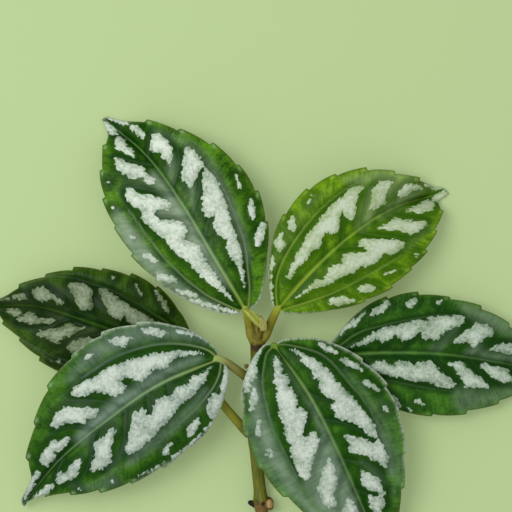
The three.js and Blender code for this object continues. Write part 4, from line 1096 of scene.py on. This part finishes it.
def blade_plan(leaf, midrib, margins):
    """A blade as seen from above: a row of points for each station, from the left margin to the right,
    with their distances from the midrib and from the margin."""
    stations = tooth_stations()
    lean = np.sin(np.pi * stations)
    middle = catmull(midrib, stations - VEIN_LEAN * lean)
    u = np.linspace(1, -1, COLUMNS)
    shares = np.sign(u) * np.abs(u) ** CROWDING
    edges = [catmull(margin, stations + lead * lean, run_out=False) - middle[:, :2]
             for margin, lead in zip(margins, leaf["leads"])]
    half = np.where((shares >= 0)[None, :, None], edges[0][:, None], edges[1][:, None])
    half = with_tip(leaf, stations, shares, half)
    reach = np.linalg.norm(half, axis=2)
    across = np.abs(shares)
    stretch = across * (1 + tooth_growth(stations)[:, None] * across ** TOOTH_FADE / reach)
    return SimpleNamespace(
        stations=stations, shares=shares, across=across, half=half, reach=reach, z=middle[:, 2:],
        x=middle[:, :1] + half[..., 0] * stretch, y=middle[:, 1:2] + half[..., 1] * stretch,
        from_midrib=across * reach, from_edge=(1 - across) * reach,
    )


def lateral_shares(leaf, blade):
    """Share of the half width at which a leaf's long side vein runs, read at its knots."""
    lateral = np.zeros_like(blade.x)
    for columns, line in zip((blade.shares >= 0, blade.shares <= 0), leaf["laterals"]):
        own_x, own_y = blade.x[:, columns], blade.y[:, columns]
        found = []
        for px, py in line:
            k, i = np.unravel_index(np.argmin((own_x - px) ** 2 + (own_y - py) ** 2), own_x.shape)
            found.append((blade.stations[k], blade.across[columns][i]))
        found = np.array(sorted(found))
        values = np.clip(np.interp(blade.stations, found[:, 0], found[:, 1]), *VEIN_RANGE)
        lateral[:, columns] = values[:, None]
    return lateral


def blade_heights(leaf, blade, markings):
    """Heights of the points of a blade's upper and lower face."""
    run_out = smooth(blade.stations, *OUTER_END)[:, None]
    lateral = lateral_shares(leaf, blade)
    lateral = lateral + (VEIN_OUT - lateral) * run_out
    inner = blade.across < lateral
    band = np.where(inner, blade.across / lateral, (blade.across - lateral) / (1 - lateral))
    width = np.minimum(1, blade.reach / SWELL_FULL_WIDTH)
    swell = np.where(inner, SWELL_INNER, SWELL_OUTER * (1 - run_out)) * width * np.sin(np.pi * band)
    relief = swell + BLISTER * smooth(markings.silver, -0.4, 0.8) - SIDE_GROOVE * markings.trough * width
    relief = relief - GROOVE * width * np.exp(-(blade.from_midrib / GROOVE_REACH) ** 2)
    relief = relief - SINK * smooth(blade.from_midrib, 0, 3)
    sag = leaf["sag"] * (blade.from_midrib / SAG_SPAN) ** 2
    top = np.maximum(blade.z - sag + relief, BLADE)
    along = blade.stations[:, None]
    thick = RIM + (BLADE - RIM) * smooth(blade.from_edge, 0, EDGE_TAPER)
    thick = thick * (1 - 0.4 * smooth(along, 0.9, 1))
    keel = KEEL_DEPTH * (1 - 0.8 * along) * np.exp(-(blade.from_midrib / KEEL_REACH) ** 2)
    return top, np.maximum(top - thick - keel, 0)


def rim_points(blade, height, column):
    """Points of the bulging edge between a blade's two faces, along one margin."""
    outward = blade.half[:, column] / blade.reach[:, column, None]
    x = blade.x[:, column] + RIM_BULGE * outward[:, 0]
    y = blade.y[:, column] + RIM_BULGE * outward[:, 1]
    return np.stack([x, y, height[:, column]], axis=1)[:, None]


def blade_rings(blade, top, bottom):
    """Rings round a blade, over its upper face, its right rim, its lower face and its left rim."""
    upper = np.stack([blade.x, blade.y, top], axis=2)
    lower = np.stack([blade.x, blade.y, bottom], axis=2)
    middle = (top + bottom) / 2
    right, left = rim_points(blade, middle, -1), rim_points(blade, middle, 0)
    return np.concatenate([upper, right, lower[:, ::-1], left], axis=1)


def around(shape, above, at_rim, below):
    """A field's values round each ring. Where at_rim is None, the upper face's run on over it."""
    above, below = (np.broadcast_to(values, shape) for values in (above, below))
    right, left = above[:, -1:], above[:, :1]
    if at_rim is not None:
        right = left = np.full(left.shape, at_rim, float)
    return np.concatenate([above, right, below[:, ::-1], left], axis=1)


def blade_fields(leaf, blade, markings):
    """The fields of BLADE_FIELDS round each ring of a blade, from its upper face, rim and lower face."""
    along = blade.stations[:, None]
    row = along * length_of(leaf)
    outer = 0.15 + 0.85 * smooth(blade.across, 0.58, 0.82)
    ending = 1 - smooth(along, 0.01, 0.06)

    # The silver hem fades out before its end, and comes back round the tip
    ends = np.where(blade.shares >= 0, *leaf["edging"])[None]
    edged = 1 - smooth(along, ends - 0.2, ends) + 0.8 * smooth(along, 0.88, 0.94)

    # The midrib's line gets fainter and narrower towards the tip
    fading = 0.85 - 0.5 * smooth(along, 0.15, 0.8)
    midrib = fading * np.exp(-(blade.from_midrib / (0.58 - 0.3 * along)) ** 2)

    # Painted shade: the green is darker close beside the midrib's groove and round the raised silver
    beside = 0.6 * np.exp(-((blade.from_midrib - 1.0) / 0.7) ** 2) + 0.7 * smooth(markings.silver, -FAR, -1)
    fields = dict(
        silver=(markings.silver, -FAR, -FAR), painted_sheen=(markings.painted_sheen, 0, 0), line=(markings.line, 0, 0),
        painted_shade=(np.clip(0.8 * markings.trough + beside, 0, 1), 0.5, 0),
        midrib=(np.maximum(midrib, 0.75 * tooth_flecks(leaf, blade)), None, 0),
        rim=(0.5 * np.exp(-(blade.from_edge / EDGE_LINE) ** 2), 0.6, 0),
        hem=(0.75 * edged * np.exp(-(blade.from_edge / HEM_LINE) ** 2), None, 0),
        outer=(outer, 1, outer), row=(row, 0, row), off=(blade.from_midrib, 0, blade.from_midrib),
        stalk=(ending, 0, ending), run=(1, 1, 1), under=(0, 0.4, 1),
    )
    return {name: around(blade.x.shape, *values) for name, values in fields.items()}


# Leaves

def make_ribs(leaf, rings):
    """Raised veins of a leaf's underside, each thinner towards its end."""
    lower = rings[:, COLUMNS + 1:-1].reshape(-1, 3)
    veins = [(1.0, [(3, 0), *knots]) for knots in leaf["laterals"]]
    veins += [(SHORT_RIB, knots) for knots in leaf["side_veins"]]
    runs = []
    for girth, knots in veins:
        curve = catmull(np.array(knots, float), np.linspace(0, 1, 6 * len(knots)))
        gaps = ((lower[:, :2] - curve[:, None]) ** 2).sum(2)
        near = np.argpartition(gaps, 4, axis=1)[:, :4]
        weights = 1 / (np.take_along_axis(gaps, near, 1) + 0.01)
        height = (lower[near, 2] * weights).sum(1) / weights.sum(1)
        radius = girth * (RIB_ROOT + (RIB_END - RIB_ROOT) * np.linspace(0, 1, len(curve)))
        on_face = np.column_stack([curve, np.maximum(height, radius)])
        runs.append(np.column_stack([to_shoot(leaf, on_face), radius]))

    # Dull pale green, a little lighter than the underside round it
    skin = plant_skin(leaf["name"] + "_rib_skin", "#7f9558", "#93a86c", 0.5, 0.4, {})
    made = grow_limbs(leaf["name"] + "_ribs", runs, skin, sides=10)
    settle(made)
    stand_for(made, leaf["slot"])


def stalk_rings(knots, clear, to_blade, base_stations, sides):
    """Rings of a leaf's stalk, which start inside its cushion and run on under the blade's first
    stations, and the share of the stalk that is passed at each."""
    run = np.linalg.norm(catmull(knots, to_blade) - catmull(knots, clear))
    places = np.concatenate([
        np.linspace(clear - STALK_BEFORE, to_blade, int(run / STALK_STEP), endpoint=False),
        to_blade + (1 - to_blade) * base_stations / BASE_SHARE,
    ])
    share = np.clip((places - clear) / (to_blade - clear), 0, 1)
    radii = CUSHION_RADIUS + (PETIOLE_RADIUS - CUSHION_RADIUS) * share
    angles = (np.arange(sides) + 1) * 2 * np.pi / sides
    channel = CHANNEL * np.exp(-((angles - np.pi / 2) / CHANNEL_REACH) ** 2)
    return round_rings(catmull(knots, places), radii[:, None] * (1 - channel * share[:, None]), angles), share


def with_stalk(fields, share):
    """Values of a leaf's fields at all its points: on the stalk's rings, on the blade's, at both ends."""
    on_stalk = {name: np.zeros(len(share)) for name in fields}
    on_stalk.update(stalk=np.ones(len(share)), run=share, silver=np.full(len(share), -float(FAR)))
    return {name: np.concatenate([np.repeat(on_stalk[name], field.shape[1]), field.ravel(),
                                  [on_stalk[name][0], 0.0]]) for name, field in fields.items()}


def make_leaf(leaf):
    """Leaf blade with its stalk, as one closed mesh, and the ribs under it. Returns the knots of the
    stalk and the place along them where it is clear of its cushion."""
    midrib, margins = curves_of(leaf)
    knots, clear, to_blade = stalk_of(leaf, midrib)
    blade = blade_plan(leaf, midrib, margins)
    markings = blade_markings(leaf, blade)
    fields = blade_fields(leaf, blade, markings)
    rings = blade_rings(blade, *blade_heights(leaf, blade, markings))
    make_ribs(leaf, rings)
    rings = to_shoot(leaf, rings)

    # Over its first stations the blade grows out of the stalk
    on_base = blade.stations < BASE_END
    base_stations = blade.stations[on_base]
    stalk, share = stalk_rings(knots, clear, to_blade, base_stations, rings.shape[1])
    free = len(stalk) - len(base_stations)
    blend = smooth(base_stations / BASE_END, 0, 1)[:, None, None]
    rings[on_base] = stalk[free:] * (1 - blend) + rings[on_base] * blend
    fields["under"][on_base] *= blend[..., 0]

    vertices, faces = loft(np.concatenate([stalk[:free], rings]))
    skin = leaf_skin(leaf["name"] + "_skin", leaf["tones"])
    made = piece(leaf["name"] + "_blade", vertices, faces, skin, with_stalk(fields, share[:free]))
    stand_for(made, leaf["slot"], leaf["name"])
    return knots, clear


# Stem

def stem_fields(places):
    """Where the stem is young, old, ringed by a node, or darkened with painted shade in the hollow beside the
    old bud.
    """
    along = places[:, 1]
    rings = [(stem_at(place)[1], *NODE_RING) for place, _, _ in NODE_SWELLS[:-1]] + [TOP_RING]
    return dict(
        young=smooth(along, *YOUNG_STEM), old=0.8 * (1 - smooth(along, *OLD_STEM)),
        node=np.max([depth * np.exp(-((along - where) / half) ** 2) for where, depth, half in rings], axis=0),
        hollow_shade=1.1 * np.exp(-(np.linalg.norm(places - HOLLOW_SHADE, axis=1) / 0.9) ** 4),
    )


def make_stem(stalks):
    """Stem with its swollen nodes and the cushions of the leaf stalks, grown together."""
    shares = np.linspace(0, 1, 400)
    radii = STEM_RADIUS + sum(growth * np.exp(-(((shares - place) * stem_run[-1] / reach) ** 2))
                              for place, growth, reach in NODE_SWELLS)
    runs = [np.column_stack([stem_at(shares), radii])]

    # A cushion swells out of the stem and narrows a little round the stalk that it holds
    for knots, clear in stalks:
        share = np.linspace(0, 1, 32)
        flare = CUSHION_RADIUS * (0.5 + 0.54 * smooth(share, 0, 0.6) - 0.16 * smooth(share, 0.8, 1))
        runs.append(np.column_stack([catmull(knots, (clear + CUSHION_PAST) * share), flare]))

    # Juicy olive skin, yellower at the top, brown and corky at the old end, dark round each node, with
    # painted shade in the hollow beside the old bud
    skin = plant_skin("stem_skin", "#4e540c", "#6a6e1a", 0.5, 0.5, {
        "young": "#7a7424", "old": "#6f4d28", "node": "#352704", "hollow_shade": "#2a1806",
    })
    made = grow_limbs("stem_and_cushions", runs, skin, sides=48)
    fused = made.modifiers.new("fused", "REMESH")
    fused.mode = "VOXEL"
    fused.voxel_size = STEM_GRAIN * MM
    even = made.modifiers.new("even", "SMOOTH")
    even.iterations = 6
    mesh = settle(made)
    places = np.empty(len(mesh.vertices) * 3)
    mesh.vertices.foreach_get("co", places)
    put_fields(mesh, stem_fields(places.reshape(-1, 3) / MM))
    stand_for(made, "green_stem", "stem")


# Young growth and buds

def folded(shape, steps, columns):
    """Small folded leaf or scale along a path."""
    share = np.linspace(0, 1, steps)
    centre = catmull(shape["path"], share)
    half = catmull(list(enumerate(shape["widths"])), share)[:, 1]
    left, up = directions(centre)
    across = np.linspace(1, -1, columns)
    drop = shape["fold"] * across ** 2
    thin = shape["thickness"] * (0.35 + 0.65 * np.sqrt(np.clip(1 - across ** 2, 0, 1)))
    out = centre[:, None] + left[:, None] * (half[:, None] * across)[..., None]
    upper = out - up[:, None] * drop[None, :, None]
    lower = out - up[:, None] * (drop + thin)[None, :, None]
    return loft(np.concatenate([upper, lower[:, ::-1]], axis=1))


def bud(shape, steps, sides):
    """Small lumpy piece with rounded ends along a path."""
    share = np.linspace(0, 1, steps)
    radii = catmull(list(enumerate(shape["radii"])), share)[:, 1]
    radii = radii * np.sqrt(np.clip(1.001 - np.abs(2 * share - 1) ** 4, 0, 1))
    angles = np.arange(sides) * 2 * np.pi / sides
    twist = share[:, None]
    lumps = 1 + 0.05 * np.sin(3 * angles + 6 * twist) + 0.05 * np.cos(5 * angles - 9 * twist)
    return loft(round_rings(catmull(shape["path"], share), radii[:, None] * lumps, angles))


def growth_fields(node, places):
    """Pale veins along the young leaf, the dark point of the scale, and painted shade round the sides of the
    old bud.
    """
    if node == "young_leaf":
        return {"vein": 0.35 + 0.35 * np.cos((places[:, 0] + 0.9 * places[:, 1]) * 2 * np.pi / YOUNG_VEINS)}
    if node == "bud_scale":
        return {"point": smooth(places[:, 1], *SCALE_POINT)}
    if node == "old_bud":
        # Painted shade: the old bud darkens round its sides, away from its pale top
        return {"point": smooth(np.linalg.norm(places[:, :2] - OLD_BUD_CROWN, axis=1), 0.9, 1.8)}
    return {}


def make_young_growth():
    """Folded young leaf, the scale over the growing tip, and the buds."""
    # Fresh yellow-green skin with a soft gloss, and a papery scale with a dark point
    fresh = plant_skin("young_skin", "#717c20", "#8a9230", 0.4, 0.5, {"vein": "#a9ad52"})
    papery = plant_skin("scale_skin", "#7e7e38", "#a2a05c", 0.55, 0.4, {"point": "#33240c"})
    # Dull olive brown bud skin, mottled woody bark with painted shade round its sides, and dried tissue that
    # is nearly black
    brown = plant_skin("bud_skin", "#453f0a", "#7f7526", 0.6, 0.35, {})
    woody = plant_skin("woody_skin", "#6b4a24", "#b0925c", 0.7, 1.6, {"point": "#4a2c14"})
    dry = plant_skin("dry_skin", "#0b0a07", "#221e14", 0.8, 0.3, {})
    made = [
        ("young_leaf_blade", "young_leaf_blade", "young_leaf", folded(YOUNG_LEAF, 60, 31), fresh),
        ("bud_scale_skin", "bud_brown", "bud_scale", folded(BUD_SCALE, 50, 25), papery),
        ("end_bud_skin", "bud_brown", "end_bud", bud(END_BUD, 40, 32), brown),
        ("side_bud_skin", "bud_brown", "side_bud", bud(SIDE_BUD, 30, 32), brown),
        ("old_bud_skin", "bud_brown", "old_bud", bud(OLD_BUD, 30, 40), woody),
        ("old_stub_skin", "dry_stub", "old_stub", bud(OLD_STUB, 30, 32), dry),
    ]
    for name, slot, node, (vertices, faces), skin in made:
        stand_for(piece(name, vertices, faces, skin, growth_fields(node, vertices)), slot, node)


# Floor, light and camera

def make_floor():
    """Matt pale green floor that glows a little like a light table."""
    mesh = bpy.data.meshes.new("floor")
    mesh.from_pydata([(-2, -2, 0), (2, -2, 0), (2, 2, 0), (-2, 2, 0)], [], [(0, 1, 2, 3)])
    material = bpy.data.materials.new("floor_paint")
    material.use_nodes = True
    paint = material.node_tree.nodes["Principled BSDF"]
    paint.inputs["Base Color"].default_value = linear("#97aa79")
    paint.inputs["Roughness"].default_value = 0.9
    paint.inputs["Emission Color"].default_value = linear("#b6ca8e")
    paint.inputs["Emission Strength"].default_value = 0.28
    mesh.materials.append(material)
    floor = bpy.data.objects.new("floor", mesh)
    bpy.context.scene.collection.objects.link(floor)


def make_light():
    """Soft light of a pale room, dimmer straight above, and of a window at the upper left."""
    world = bpy.data.worlds.new("room")
    bpy.context.scene.world = world
    world.use_nodes = True
    room = world.node_tree
    way = add(room, "ShaderNodeTexCoord").outputs["Generated"]
    height = add(room, "ShaderNodeSeparateXYZ", {0: way}).outputs["Z"]
    dimmed = add(room, "ShaderNodeMapRange", {
        "Value": height, "From Min": 0.75, "From Max": 0.97, "To Min": 0.72, "To Max": 0.56,
    })
    backdrop = room.nodes["Background"]
    backdrop.inputs["Color"].default_value = (0.95, 0.98, 1.0, 1)
    room.links.new(dimmed.outputs[0], backdrop.inputs["Strength"])

    light = bpy.data.lights.new("window", "AREA")
    light.size = 0.45
    light.energy = 3.6
    lamp = bpy.data.objects.new("window", light)
    bpy.context.scene.collection.objects.link(lamp)
    lamp.location = (-0.36, 0.14, 0.7)
    lamp.rotation_euler = (-lamp.location).to_track_quat("-Z", "Y").to_euler()


def make_camera():
    """Camera that looks straight down on the shoot."""
    camera = bpy.data.cameras.new("camera")
    camera.lens = 150
    camera.sensor_width = 36
    camera.clip_start = 0.05
    eye = bpy.data.objects.new("camera", camera)
    bpy.context.scene.collection.objects.link(eye)
    eye.location = [MM * value for value in CAMERA_PLACE]
    bpy.context.scene.camera = eye
    bpy.context.scene.view_settings.view_transform = "Standard"


make_floor()
make_light()
make_camera()
stalks = [make_leaf(leaf) for leaf in LEAVES]
make_stem(stalks)
make_young_growth()
